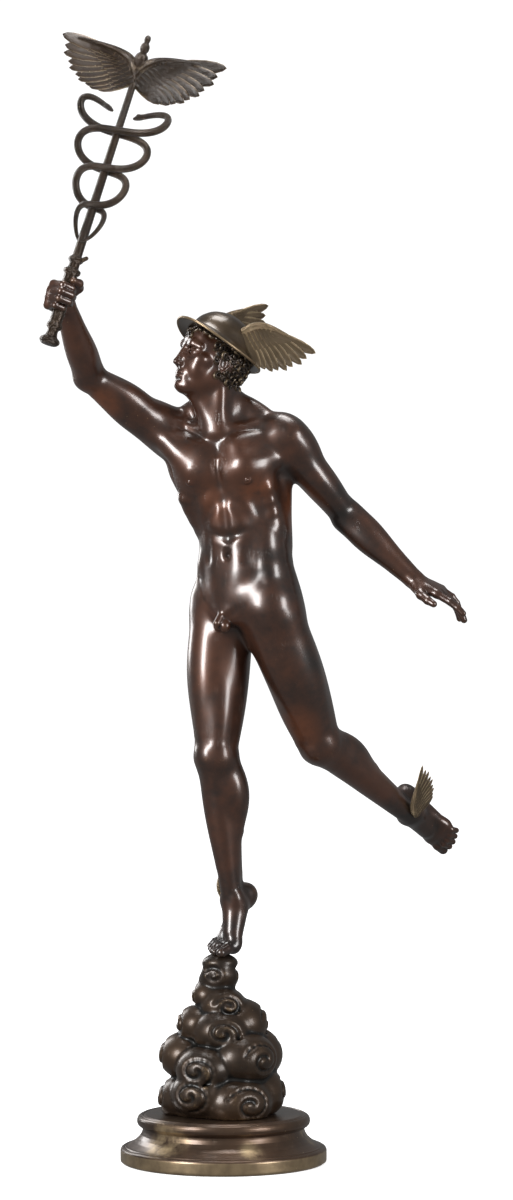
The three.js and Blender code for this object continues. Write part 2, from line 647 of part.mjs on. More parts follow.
// A foot. way runs from heel to ball, sole points out of the sole, toes is the way the toes lie.
function addFoot(clay, ankle, way, sole, toes, side) {
  let outer = cross(sole, way).normalize();
  if (outer.dot(bones.pelvisAxes[0]) * side < 0) outer = outer.negate();
  const axes = [outer, way, sole];
  const at = (f, d, o) => sum(ankle, scaled(way, f), scaled(sole, d), scaled(outer, o));
  clay.add(lump(at(-2.7, 2.3, 0), [1.75, 2.1, 1.9], axes), 1.2);
  clay.add(spindle(at(-1.8, -1.2, 0), at(-3.2, 1.4, 0), 0.85, 1.1), 0.9);
  clay.add(spindle(at(-0.2, 0.5, 0), at(4.2, 2.2, -0.6), 2, 1.35), 1.2);
  clay.add(spindle(at(-1.4, 2.2, 0.6), at(5.2, 3.4, 1.7), 1.5, 0.95), 1.2);
  clay.add(spindle(at(0.5, 1.2, -0.6), at(6, 3.1, -1.3), 1.6, 1.15), 1.2);
  clay.add(lump(at(6.1, 3.2, -1.5), [1.25, 1.5, 1.15], axes), 0.8);
  clay.add(lump(at(5.6, 3.5, 1.7), [1.1, 1.4, 0.9], axes), 0.8);
  clay.add(lump(at(5.9, 3.2, 0.1), [1.9, 1.5, 1.05], axes), 0.8);
  const down = unit(square(sole, toes));
  const roots = [[6.6, 3.3, -1.6], [6.7, 3.2, -0.35], [6.5, 3.3, 0.55], [6.1, 3.45, 1.35], [5.6, 3.6, 2.1]];
  const sizes = [[3.2, 0.95], [2.9, 0.66], [2.6, 0.62], [2.3, 0.58], [2, 0.56]];
  roots.forEach((root, i) => {
    const [length, radius] = sizes[i];
    const start = at(...root);
    const fan = unit(sum(toes, scaled(outer, -0.05 + 0.07 * i)));
    const knuckle = sum(start, scaled(fan, length * 0.55), scaled(down, i ? -0.35 : -0.1));
    const tip = sum(start, scaled(fan, length), scaled(down, 0.25));
    clay.add(spindle(start, knuckle, radius, radius * 0.92), 0.45);
    clay.add(spindle(knuckle, tip, radius * 0.92, radius * 0.85), 0.2);
  });
}

// One arm. The biceps looks the way of bend, and the outside of the arm the way of outer.
function addArm(clay, { shoulder, elbow, wrist }, bend, outer) {
  const upper = bone(shoulder, elbow, bend, outer);
  const fore = bone(elbow, wrist, bend, outer);
  clay.add(lump(upper.at(0.1, 0, 0.7), [3.1, 3.4, 4.8], upper.axes), 1.8);
  addMuscles(clay, upper, UPPER_ARM, 1.12);
  clay.add(lump(elbow, [2.15, 1.75, 2], fore.axes), 1);
  clay.add(lump(sum(elbow, scaled(unit(sum(upper.front, fore.front)), -1.3)), [0.95, 0.9, 1.1], fore.axes), 0.8);
  addMuscles(clay, fore, FOREARM, 1.1);
}

// The frame of a hand at a wrist: how far to the knuckles, out of the palm and towards the thumb.
function handFrame(wrist, way, palm, side) {
  const across = cross(palm, way).normalize().multiplyScalar(side);
  return {
    axes: [across, palm, way],
    at: (f, p, a) => sum(wrist, scaled(way, f), scaled(palm, p), scaled(across, a)),
  };
}

const FINGERS = [[2.6, 1.6, 1.2], [2.9, 1.8, 1.25], [2.7, 1.7, 1.2], [2.1, 1.3, 1.1]];
const FINGER_RADII = [0.66, 0.68, 0.64, 0.56];

// A hand. curls holds the bend of each finger's three joints, and thumb the thumb's four points.
function addHand(clay, frame, curls, spread, thumb) {
  const { at, axes } = frame;
  const [across, palm, way] = axes;
  clay.add(lump(at(0, 0, 0), [1.75, 1.2, 1.6], axes), 0.8);
  clay.add(lump(at(2.6, 0, 0.1), [2.15, 0.85, 2.7], axes), 0.8);
  clay.add(lump(at(1.8, 0.6, 1.3), [0.9, 0.8, 1.7], axes), 0.6);
  clay.add(lump(at(2, 0.5, -1.5), [0.7, 0.75, 1.9], axes), 0.6);
  FINGERS.forEach((lengths, i) => {
    const off = 1.65 - 1.1 * i;
    const radius = FINGER_RADII[i];
    const heading = unit(sum(way, scaled(across, (spread * (1.5 - i)) / 1.5)));
    let from = at(4.6 - 0.18 * Math.abs(i - 1), 0, off);
    let angle = 0;
    clay.add(spindle(at(1.2, -0.1, off * 0.55), from, 0.7, 0.72), 0.6);
    lengths.forEach((length, j) => {
      angle += curls[i][j];
      const to = sum(from, scaled(heading, Math.cos(angle) * length), scaled(palm, Math.sin(angle) * length));
      clay.add(spindle(from, to, radius * (1 - 0.06 * j), radius * (0.93 - 0.06 * j)), j ? 0.15 : 0.4);
      from = to;
    });
  });
  const [base, first, second, tip] = thumb.map((p) => at(...p));
  clay.add(spindle(base, first, 1, 0.78), 0.6);
  clay.add(spindle(first, second, 0.76, 0.68), 0.3);
  clay.add(spindle(second, tip, 0.68, 0.55), 0.2);
}

const GRIP_AT = [3.35, 1.75, 0]; // the middle of the grip in the frame of the right hand

function rightHandFrame() {
  const { elbow, wrist } = bones.right;
  const way = unit(square(wrist.clone().sub(elbow), bones.staffWay));
  return handFrame(wrist, way, cross(bones.staffWay, way).normalize(), -1);
}

function modelFigure() {
  const clay = new Clay();
  const { right, left, toe, pelvisAxes } = bones;
  addTrunk(clay);

  // the right leg stands on the ball of the foot, with the heel high and the toes flat
  addLeg(clay, right, -1, toe);
  const slope = rad(52);
  const standingWay = sum(scaled(toe, Math.cos(slope)), vec(0, 0, -Math.sin(slope)));
  const standingSole = sum(scaled(toe, -Math.sin(slope)), vec(0, 0, -Math.cos(slope)));
  addFoot(clay, right.ankle, standingWay, standingSole, unit(sum(toe, vec(0, 0, -0.12))), -1);

  // the left leg trails, with its foot hanging
  const shin = addLeg(clay, left, 1, unit(sum(scaled(pelvisAxes[1], -1), scaled(pelvisAxes[0], 0.25), vec(0, 0, -0.35))));
  const trailingWay = unit(sum(scaled(shin.way, 0.93), scaled(shin.front, 0.38)));
  const trailingSole = unit(square(shin.front, trailingWay)).negate();
  addFoot(clay, left.ankle, trailingWay, trailingSole, unit(sum(trailingWay, scaled(trailingSole, 0.15))), 1);

  addArm(clay, right, vec(0.385, -0.324, 0.283), vec(-0.3, 0.3, 0.9));
  addArm(clay, left, vec(0.25, -0.95, -0.1), vec(0.8, 0.1, 0.6));
  addNeckAndHead(clay);

  const fist = Array(4).fill([1.15, 1.45, 0.8]);
  addHand(clay, rightHandFrame(), fist, 0.02, [[0.9, 0.9, 1.4], [1.5, 2.6, 2.5], [2.9, 3.4, 2.9], [4.2, 3.1, 2.9]]);
  const way = unit(vec(0.88, -0.2, -0.42));
  const open = [[0.05, 0.15, 0.12], [0.2, 0.3, 0.2], [0.3, 0.4, 0.25], [0.2, 0.35, 0.25]];
  const palm = unit(square(vec(-0.3, 0.3, -0.9), way));
  addHand(clay, handFrame(left.wrist, way, palm, 1), open, 0.16, [[0.9, 0.4, 1.3], [2.3, 0.9, 2.8], [3.8, 1, 3.7], [5, 1, 4.1]]);
  return clay;
}

// The bank of cloud: billows in rings that grow smaller as they climb to the foot, on a solid core.
const CLOUD_RINGS = [
  // height, billows, distance from the axis, radius, turn in degrees
  [-22.4, 6, 5.6, 4.9, 0],
  [-17, 5, 5.3, 4.9, 30],
  [-11.6, 4, 3.3, 4.2, 5],
  [-7.2, 3, 1.8, 3.1, 50],
  [-3.6, 3, 0.9, 2.3, 10],
];

function modelCloud() {
  const clay = new Clay();
  clay.add(spindle(vec(0, 0, -25), vec(0, 0, -11), 7.6, 4), 1);
  clay.add(spindle(vec(0, 0, -11), vec(0, 0, -0.5), 3.4, 1.9), 2);
  for (const [z, count, distance, radius, turn] of CLOUD_RINGS) {
    for (let i = 0; i < count; i++) {
      const angle = rad(turn + (360 * i) / count);
      const size = radius * (1 + 0.12 * Math.sin(5 * i + z));
      const centre = vec(Math.cos(angle) * distance, Math.sin(angle) * distance, z + 0.8 * Math.sin(3 * i + z));
      const out = [vec(-Math.sin(angle), Math.cos(angle), 0), vec(Math.cos(angle), Math.sin(angle), 0), vec(0, 0, 1)];
      clay.add(lump(centre, [size * 1.12, size, size * 0.86], out), 0.6);
    }
  }
  return clay;
}

// Solids from three.js geometries

function solidOf(geometry) {
  const bare = new THREE.BufferGeometry().setAttribute("position", geometry.getAttribute("position"));
  if (geometry.index) bare.setIndex(geometry.index);
  const merged = mergeVertices(bare, 1e-4);
  const index = merged.index.array;
  const triangles = [];
  for (let i = 0; i < index.length; i += 3) {
    const [a, b, c] = index.slice(i, i + 3);
    if (a !== b && b !== c && c !== a) triangles.push(a, b, c);
  }
  const vertProperties = new Float32Array(merged.getAttribute("position").array);
  const make = () => new wasm.Manifold(new wasm.Mesh({ numProp: 3, vertProperties, triVerts: new Uint32Array(triangles) }));
  const solid = make();
  if (solid.volume() > 0) return solid;
  triangles.reverse();
  return make();
}

function geometryOf(solid) {
  const mesh = solid.getMesh();
  const places = new Float32Array(mesh.numVert * 3);
  for (let i = 0; i < mesh.numVert; i++) {
    places.set(mesh.vertProperties.subarray(i * mesh.numProp, i * mesh.numProp + 3), i * 3);
  }
  const geometry = new THREE.BufferGeometry();
  geometry.setAttribute("position", new THREE.BufferAttribute(places, 3));
  geometry.setIndex(new THREE.BufferAttribute(new Uint32Array(mesh.triVerts), 1));
  geometry.computeVertexNormals();
  return geometry;
}

const joined = (solids) => solids.reduce((whole, next) => whole.add(next));
const largest = (solid) => solid.decompose().reduce((a, b) => (b.volume() > a.volume() ? b : a));

function geometryFrom({ points, faces }) {
  const geometry = new THREE.BufferGeometry();
  geometry.setAttribute("position", new THREE.Float32BufferAttribute(points.flatMap((p) => p.toArray()), 3));
  geometry.setIndex(faces.flat());
  return geometry;
}

// The clay as a solid in millimetres, cut by the given solids, with about faceBudget faces.
function castSolid(clay, sample, faceBudget, cuts) {
  const whole = solidOf(geometryFrom(skinOf(clay, sample)).scale(U, U, U));
  const cut = geometryOf(largest(cuts.reduce((left, tool) => left.intersect(tool), whole)));
  const place = cut.getAttribute("position");
  const points = Array.from({ length: place.count }, (_, i) => vec().fromBufferAttribute(place, i));
  const faces = Array.from({ length: cut.index.count / 3 }, (_, f) => [...cut.index.array.slice(3 * f, 3 * f + 3)]);
  return solidOf(geometryFrom(simplified({ points, faces }, faceBudget)));
}

// A turned piece about +Z from a profile of [radius, height] that starts and ends on the axis.
function turnedGeometry(profile, segments) {
  const points = profile.map(([r, z]) => new THREE.Vector2(r, z));
  return new THREE.LatheGeometry(points, segments).rotateX(Math.PI / 2);
}

// A matrix that puts local X, Y and Z along the given axes, at a place.
function placeMatrix(x, y, z, place) {
  return new THREE.Matrix4().makeBasis(x, y, z).setPosition(place);
}

// A box far larger than the statue, whose bottom or top face lies at a height.
function slab(height, side) {
  return solidOf(new THREE.BoxGeometry(900, 900, 900).translate(0, 0, height + side * 450));
}

// The hat: a round crown on a brim that droops at the sides and lifts to a point in front.
function hatSolid() {
  const profile = [
    [0, 5.1], [1.9, 4.85], [3.5, 3.95], [4.6, 2.45], [5, 1], [5.35, 0.4],
    [6.1, 0.1], [6.7, 0], [6.95, -0.25], [6.7, -0.5], [5.9, -0.45], [4.4, -0.6], [0, -0.7],
  ];
  const geometry = turnedGeometry(profile, 28);
  const place = geometry.getAttribute("position");
  for (let i = 0; i < place.count; i++) {
    const [x, y, z] = [place.getX(i), place.getY(i), place.getZ(i)];
    const reach = Math.max(Math.hypot(x, y), 1e-6);
    const out = Math.max(0, reach - 5) / 1.95;
    const front = Math.max(0, -y / reach) ** 3;
    const aside = (x / reach) ** 2;
    place.setXYZ(i, x * (1 - 0.07 * out * aside), y * (1.12 + 0.06 * front * out), z + out * (0.25 * front - 0.7 * aside));
  }
  return solidOf(geometry.applyMatrix4(placeMatrix(...hatAxes, onHat(0, 0, 0))).scale(U, U, U));
}

// The staff. Its own frame has the middle of the grip at the origin and its length along +Z.
const STAFF_PROFILE = [
  // radius and height in millimetres, from the pommel to the finial
  [6.4, -33], [7.2, -31.5], [7.2, -30], [4.4, -27.5], [3.6, -24], [5.4, -21], [5.4, -19], [4.5, -17.5],
  [4.6, 17], [6, 18.5], [6, 20.5], [3.6, 22], [3.6, 26], [5.2, 27.5], [5.2, 29], [3.2, 31],
  [2.3, 168], [4.4, 171.5], [5, 175], [4.2, 178.5], [2.2, 180.5], [3.2, 183], [3.2, 185.5], [1.6, 188],
  [2.2, 190], [1.9, 192.5],
];

function staffGeometry(grow, segments) {
  const wall = STAFF_PROFILE.map(([r, z]) => [r + grow, z]);
  return turnedGeometry([[0, -34 - grow], ...wall, [0, 194 + grow]], segments);
}

// The winding line of one snake, from its tail up to its head.
class SnakeCurve extends THREE.Curve {
  constructor(side) {
    super();
    this.side = side;
  }

  getPoint(t, target = new THREE.Vector3()) {
    const turns = Math.PI * 3.88 * t;
    const reach = 2.5 + 33 * t ** 0.8;
    const bow = 4.6;
    return target.set(
      this.side * reach * Math.sin(turns),
      this.side * -bow * Math.cos(turns),
      40 + 106 * t - 3.6 * Math.sin(2 * turns) - 1100 * Math.max(0, t - 0.9) ** 2,
    );
  }
}

function snakeSolid(side) {
  const steps = 44;
  const curve = new SnakeCurve(side);
  const radius = 2.6;
  const section = new THREE.Shape(
    Array.from({ length: 5 }, (_, i) => new THREE.Vector2(Math.cos((i * Math.PI) / 2.5), Math.sin((i * Math.PI) / 2.5)).multiplyScalar(radius)),
  );
  const geometry = new THREE.ExtrudeGeometry(section, { steps, extrudePath: curve, bevelEnabled: false });
  const middles = curve.getSpacedPoints(steps);
  const place = geometry.getAttribute("position");
  for (let i = 0; i < place.count; i++) {
    const p = new THREE.Vector3().fromBufferAttribute(place, i);
    const s = middles.reduce((best, m, j) => (m.distanceTo(p) < middles[best].distanceTo(p) ? j : best), 0);
    const t = s / steps;
    const taper = t > 0.93 ? 1.05 + 7 * (t - 0.93) - 220 * Math.max(0, t - 0.96) ** 2 : 0.5 + 0.55 * Math.min(1, t * 3);
    p.sub(middles[s]).multiplyScalar(taper).add(middles[s]);
    place.setXYZ(i, p.x, p.y, p.z);
  }
  return solidOf(geometry);
}

// The outline of a wing that spreads along +X, its front edge towards +Y, with pointed feathers.
function wingShape(length, feathers, spread, fullness) {
  const shape = new THREE.Shape();
  shape.moveTo(-0.02 * length, 0.1 * length);
  shape.lineTo(0.2 * length, 0.2 * length);
  shape.lineTo(0.5 * length, 0.17 * length);
  shape.lineTo(0.8 * length, 0.09 * length);
  for (let i = 0; i < feathers; i++) {
    const t = i / (feathers - 1);
    const [angle, reach] = [-spread * t, length * (1 - fullness * t)];
    shape.lineTo(reach * Math.cos(angle), reach * Math.sin(angle));
    if (i === feathers - 1) break;
    const [middle, cut] = [angle - spread / (feathers - 1) / 2, reach * (0.86 - 0.08 * t)];
    shape.lineTo(cut * Math.cos(middle), cut * Math.sin(middle));
  }
  shape.lineTo(-0.04 * length, -0.14 * length);
  return shape;
}

// A wing in three layers: the long feathers, the shorter ones over them and the rounded shoulder.
function wingGeometries(length, thickness, feathers, spread, fullness, bend) {
  const layers = [[1, 1, feathers], [0.64, 1.7, feathers - 2]].map(([share, thick, count]) => {
    const depth = thickness * thick;
    const shape = wingShape(length * share, count, spread, fullness);
    return new THREE.ExtrudeGeometry(shape, { depth, bevelEnabled: false }).translate(0, 0, -depth / 2);
  });
  const shoulder = new THREE.SphereGeometry(1, 7, 4)
    .scale(0.2 * length, 0.15 * length, thickness * 1.6)
    .translate(0.1 * length, 0.02 * length, 0);
  return [...layers, shoulder].map((geometry) => {
    const place = geometry.getAttribute("position");
    for (let i = 0; i < place.count; i++) {
      const [x, y] = [place.getX(i) / length, place.getY(i) / length];
      place.setZ(i, place.getZ(i) + bend * length * (x * x + 0.4 * y * y));
    }
    return geometry;
  });
}

function wingSolid(matrix, ...sizes) {
  return joined(wingGeometries(...sizes).map((geometry) => solidOf(geometry.applyMatrix4(matrix))));
}

function staffSolid() {
  const solids = [solidOf(staffGeometry(0, 10)), snakeSolid(-1), snakeSolid(1)];
  for (const m of [-1, 1]) {
    const matrix = placeMatrix(vec(m * 0.94, 0, 0.342), vec(-m * 0.342, 0, 0.94), vec(0, -m, 0), vec(m * 1.5, 0, 160));
    solids.push(wingSolid(matrix, 64, 2.2, 5, 0.8, 0.6, 0.03));
  }
  // a cut twig on the upper collar
  const twig = turnedGeometry([[0, 0], [1.9, 0], [1.4, 7], [0, 7.6]], 8);
  solids.push(solidOf(twig.applyMatrix4(placeMatrix(vec(0.6, 0, -0.8), vec(0, 1, 0), vec(0.8, 0, 0.6), vec(2, 0, 27)))));
  return largest(joined(solids));
}

// A wing fitted to the figure: it stops a seat gap short of the surface that carries it.
function fittedWing(wing, figure, out, up) {
  const thick = cross(out, up);
  const clear = [up, thick].flatMap((side) => [-0.3, 0.3].map((k) => sum(scaled(out, 0.25), scaled(side, k))));
  return largest(clear.reduce((left, shift) => left.subtract(figure.translate(shift.toArray())), wing));
}

// Frames of the four wings on the body, each as its place, its length and its front edge.
function hatWing(side) {
  const out = unit(along(hatAxes, side * 0.45, 0.7, side < 0 ? 1.25 : 0.2)); // the right one stands higher
  return { place: onHat(side * 4.55, 0.9, 2.5), out, edge: unit(square(along(hatAxes, side * 0.1, -0.4, 0.9), out)) };
}

function ankleWing({ knee, ankle }, side) {
  const shin = unit(knee.clone().sub(ankle));
  const outer = unit(square(scaled(bones.pelvisAxes[0], side), shin));
  const behind = unit(square(bones.pelvisAxes[1], shin));
  const place = sum(ankle, scaled(outer, 2.1), scaled(shin, 0.9), scaled(behind, -0.1));
  const out = unit(sum(scaled(outer, 0.5), scaled(behind, 0.8), scaled(shin, 0.55)));
  const edge = unit(square(sum(scaled(shin, 1), scaled(behind, -0.5)), out));
  return { place, out, edge };
}

function wingOn(figure, { place, out, edge }, length, ...sizes) {
  const matrix = placeMatrix(out, edge, cross(out, edge), scaled(place, U));
  return fittedWing(wingSolid(matrix, length, ...sizes), figure, out, edge);
}

// The turned base: a broad foot, a hollow and a flat top.
const BASE_PROFILE = [
  // radius as a share of the base's, and height in millimetres
  [0.975, 0], [1, 1.6], [1, 9.6], [0.97, 11.2], [0.935, 11.8], [0.92, 13.6], [0.86, 15.2], [0.8, 18.4],
  [0.785, 22.4], [0.8, 25], [0.83, 26.6], [0.835, 31.6], [0.815, BASE_HEIGHT],
];

function bronze(name, solid, color, roughness, metalness) {
  const mesh = new THREE.Mesh(geometryOf(solid), new THREE.MeshStandardMaterial({ color, roughness, metalness }));
  mesh.name = name;
  return mesh;
}

const grip = sum(rightHandFrame().at(...GRIP_AT)).multiplyScalar(U);
const gripMatrix = (() => {
  const z = bones.staffWay;
  const x = unit(square(vec(0.96, -0.28, 0), z));
  return placeMatrix(x, cross(z, x), z, grip);
})();

const body = castSolid(modelFigure(), BODY_SAMPLE, BODY_FACES, [slab(0, 1)]);
const figure = largest(
  body.add(hatSolid()).subtract(solidOf(staffGeometry(SEAT_GAP, 10).applyMatrix4(gripMatrix))),
);

const man = new THREE.Group();
man.position.set(...FOOT_PLACE, FOOT_HEIGHT);
man.add(bronze("figure", figure, 0x2a1c15, 0.36, 0.9));
man.add(bronze("hat_wing_right", wingOn(figure, hatWing(-1), 50, 1.8, 5, 0.9, 0.5, 0.1), 0x8a7a5c, 0.42, 0.9));
man.add(bronze("hat_wing_left", wingOn(figure, hatWing(1), 50, 1.8, 5, 0.9, 0.5, -0.1), 0x8a7a5c, 0.42, 0.9));
man.add(bronze("ankle_wing_right", wingOn(figure, ankleWing(bones.right, -1), 36, 1.7, 5, 0.9, 0.5, 0.08), 0x6f5c3f, 0.42, 0.9));
man.add(bronze("ankle_wing_left", wingOn(figure, ankleWing(bones.left, 1), 36, 1.7, 5, 0.9, 0.5, -0.08), 0x6f5c3f, 0.42, 0.9));

const staff = bronze("caduceus", staffSolid(), 0x3a2b1c, 0.36, 0.9);
gripMatrix.decompose(staff.position, staff.quaternion, staff.scale);
man.add(staff);

const cloudFoot = -(FOOT_HEIGHT - BASE_HEIGHT) + SEAT_GAP;
const cloud = castSolid(modelCloud(), CLOUD_SAMPLE, CLOUD_FACES, [slab(cloudFoot, 1), slab(-SEAT_GAP, -1)]);
man.add(bronze("cloud_support", cloud, 0x241810, 0.38, 0.9));

const baseWall = BASE_PROFILE.map(([share, z]) => [share * BASE_RADIUS, z]);
const base = solidOf(turnedGeometry([[0, 0], ...baseWall, [0, BASE_HEIGHT]], 32));

const statue = new THREE.Group();
statue.name = "winged_mercury_statue";
statue.add(bronze("round_base", base, 0x6b4f22, 0.4, 0.9));
statue.add(man);

export default statue;
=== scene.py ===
"""A table bronze of a striding messenger with a winged hat and a snake-wound staff.

The man is modelled as a carver's clay: rounded masses on a skeleton that blend into each other,
in hundredths of his standing height, from the ball of the standing foot. The staff, the hat, the
wings, the cloud and the turned base are built round him in metres, in the frame of the part.
"""

from __future__ import annotations

import logging
import math
from dataclasses import dataclass, field
from enum import Enum
from typing import Callable, Iterable, Sequence

import bpy
import numpy as np
from mathutils import Matrix, Vector

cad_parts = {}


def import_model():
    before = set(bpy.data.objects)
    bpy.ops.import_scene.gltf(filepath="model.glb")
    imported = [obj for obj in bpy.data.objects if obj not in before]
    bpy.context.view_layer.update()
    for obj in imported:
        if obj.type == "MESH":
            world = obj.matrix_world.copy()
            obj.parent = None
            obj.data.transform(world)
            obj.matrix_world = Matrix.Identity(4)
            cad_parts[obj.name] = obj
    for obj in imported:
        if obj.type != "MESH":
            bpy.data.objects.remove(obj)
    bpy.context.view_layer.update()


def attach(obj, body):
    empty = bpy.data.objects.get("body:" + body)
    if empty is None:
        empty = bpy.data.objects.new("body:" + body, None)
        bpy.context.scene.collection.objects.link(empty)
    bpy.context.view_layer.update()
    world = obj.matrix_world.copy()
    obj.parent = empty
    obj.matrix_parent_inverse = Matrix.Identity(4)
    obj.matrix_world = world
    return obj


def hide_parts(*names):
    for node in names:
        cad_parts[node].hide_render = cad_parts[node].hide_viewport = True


log = logging.getLogger("messenger")

Array = np.ndarray
Object = bpy.types.Object
Socket = bpy.types.NodeSocket
Triple = tuple[float, float, float]
Profile = Sequence[tuple[float, float]]
Colour = tuple[float, float, float, float]
Spot = tuple[float, float, float, float]  # a place and a radius or reach round it
Box = tuple[Array, Array, float]  # low corner, high corner and the width of a cell inside
MuscleRow = tuple[Triple, Triple, float, float, float, float]

UNIT = 0.0044  # one hundredth of the man's standing height, in metres
FOOT = np.array([-0.003, 0.002, 0.146])  # where the ball of the standing foot rests
BASE_TOP = 0.034  # the height of the round base
GRIP: Triple = (3.35, 1.75, 0.0)  # the staff's middle in the fist, in the hand's frame
ROOT = "root"  # the part's one body

# Point attributes, and the UV map of a feather, that the finishes and the recipes read.
RELIEF, GIRTH, TURN, GROW, QUILL = "relief", "girth", "turn", "grow", "quill"


def vec(x: float, y: float, z: float) -> Array:
    """A vector as an array."""
    return np.array([x, y, z], float)


def unit(v: Array) -> Array:
    """The vector at length one."""
    return v / np.linalg.norm(v)


def across(v: Array, way: Array) -> Array:
    """The part of v that stands square to way."""
    return v - way * float(v @ way)


def turned(yaw: float, pitch: float = 0.0, roll: float = 0.0) -> Array:
    """Axes to the left, to the back and up, turned by three angles.

    Args:
        yaw: degrees about the upright axis.
        pitch: degrees about the axis to the left.
        roll: degrees about the axis to the back.

    Returns:
        The three axes as rows.
    """
    y, p, r = (math.radians(a) for a in (yaw, pitch, roll))
    rz = np.array([[math.cos(y), -math.sin(y), 0], [math.sin(y), math.cos(y), 0], [0, 0, 1]])
    rx = np.array([[1, 0, 0], [0, math.cos(p), -math.sin(p)], [0, math.sin(p), math.cos(p)]])
    ry = np.array([[math.cos(r), 0, math.sin(r)], [0, 1, 0], [-math.sin(r), 0, math.cos(r)]])
    return (rz @ rx @ ry).T


def tilted(axes: Array, yaw: float = 0.0, pitch: float = 0.0, roll: float = 0.0) -> Array:
    """The axes turned again within their own frame."""
    return turned(yaw, pitch, roll) @ axes


@dataclass
class Spindle:
    """A rounded mass from one point to another, with a belly between its end radii."""

    start: Array
    end: Array
    start_radius: float
    end_radius: float
    belly: float = 0.0

    def __post_init__(self) -> None:
        """Finds the box that the spindle fills."""
        reach = max(self.start_radius, self.end_radius) + self.belly
        self.low = np.minimum(self.start, self.end) - reach
        self.high = np.maximum(self.start, self.end) + reach

    def distance(self, p: Array) -> Array:
        """Measures from the spindle's skin.

        Args:
            p: points, one a row.

        Returns:
            How far each is outside it.
        """
        way = self.end - self.start
        q = p - self.start
        t = np.clip(q @ way / max(float(way @ way), 1e-9), 0, 1)
        q = q - t[:, None] * way
        radius = self.start_radius + (self.end_radius - self.start_radius) * t
        if self.belly:
            radius = radius + self.belly * np.sin(math.pi * t)
        return np.sqrt((q * q).sum(1)) - radius


@dataclass
class Lump:
    """An ellipsoid with its radii along three axes."""

    centre: Array
    radii: Sequence[float]
    axes: Array

    def __post_init__(self) -> None:
        """Finds the box that the ellipsoid fills."""
        self.radii = np.array(self.radii, float)
        extent = np.sqrt(((self.axes * self.radii[:, None]) ** 2).sum(0))
        self.low, self.high = self.centre - extent, self.centre + extent

    def distance(self, p: Array) -> Array:
        """Measures roughly from the ellipsoid's skin.

        Args:
            p: points, one a row.

        Returns:
            About how far each is outside it.
        """
        q = ((p - self.centre) @ self.axes.T) / self.radii
        k = np.sqrt((q * q).sum(1))
        slope = np.sqrt(((q / self.radii) ** 2).sum(1))
        return k * (k - 1) / np.maximum(slope, 1e-6)


@dataclass
class Slab:
    """All that lies below a level, to cut clay flat with."""

    level: float
    width: float = 400.0

    def __post_init__(self) -> None:
        """Finds the box that the slab fills."""
        self.low, self.high = np.full(3, -self.width), np.array([self.width, self.width, self.level])

    def distance(self, p: Array) -> Array:
        """How far the points p are above the level."""
        return p[:, 2] - self.level


Shape = Spindle | Lump | Slab
Step = tuple[Shape, float, int]  # a shape, its blend, and 1 for on or -1 for out


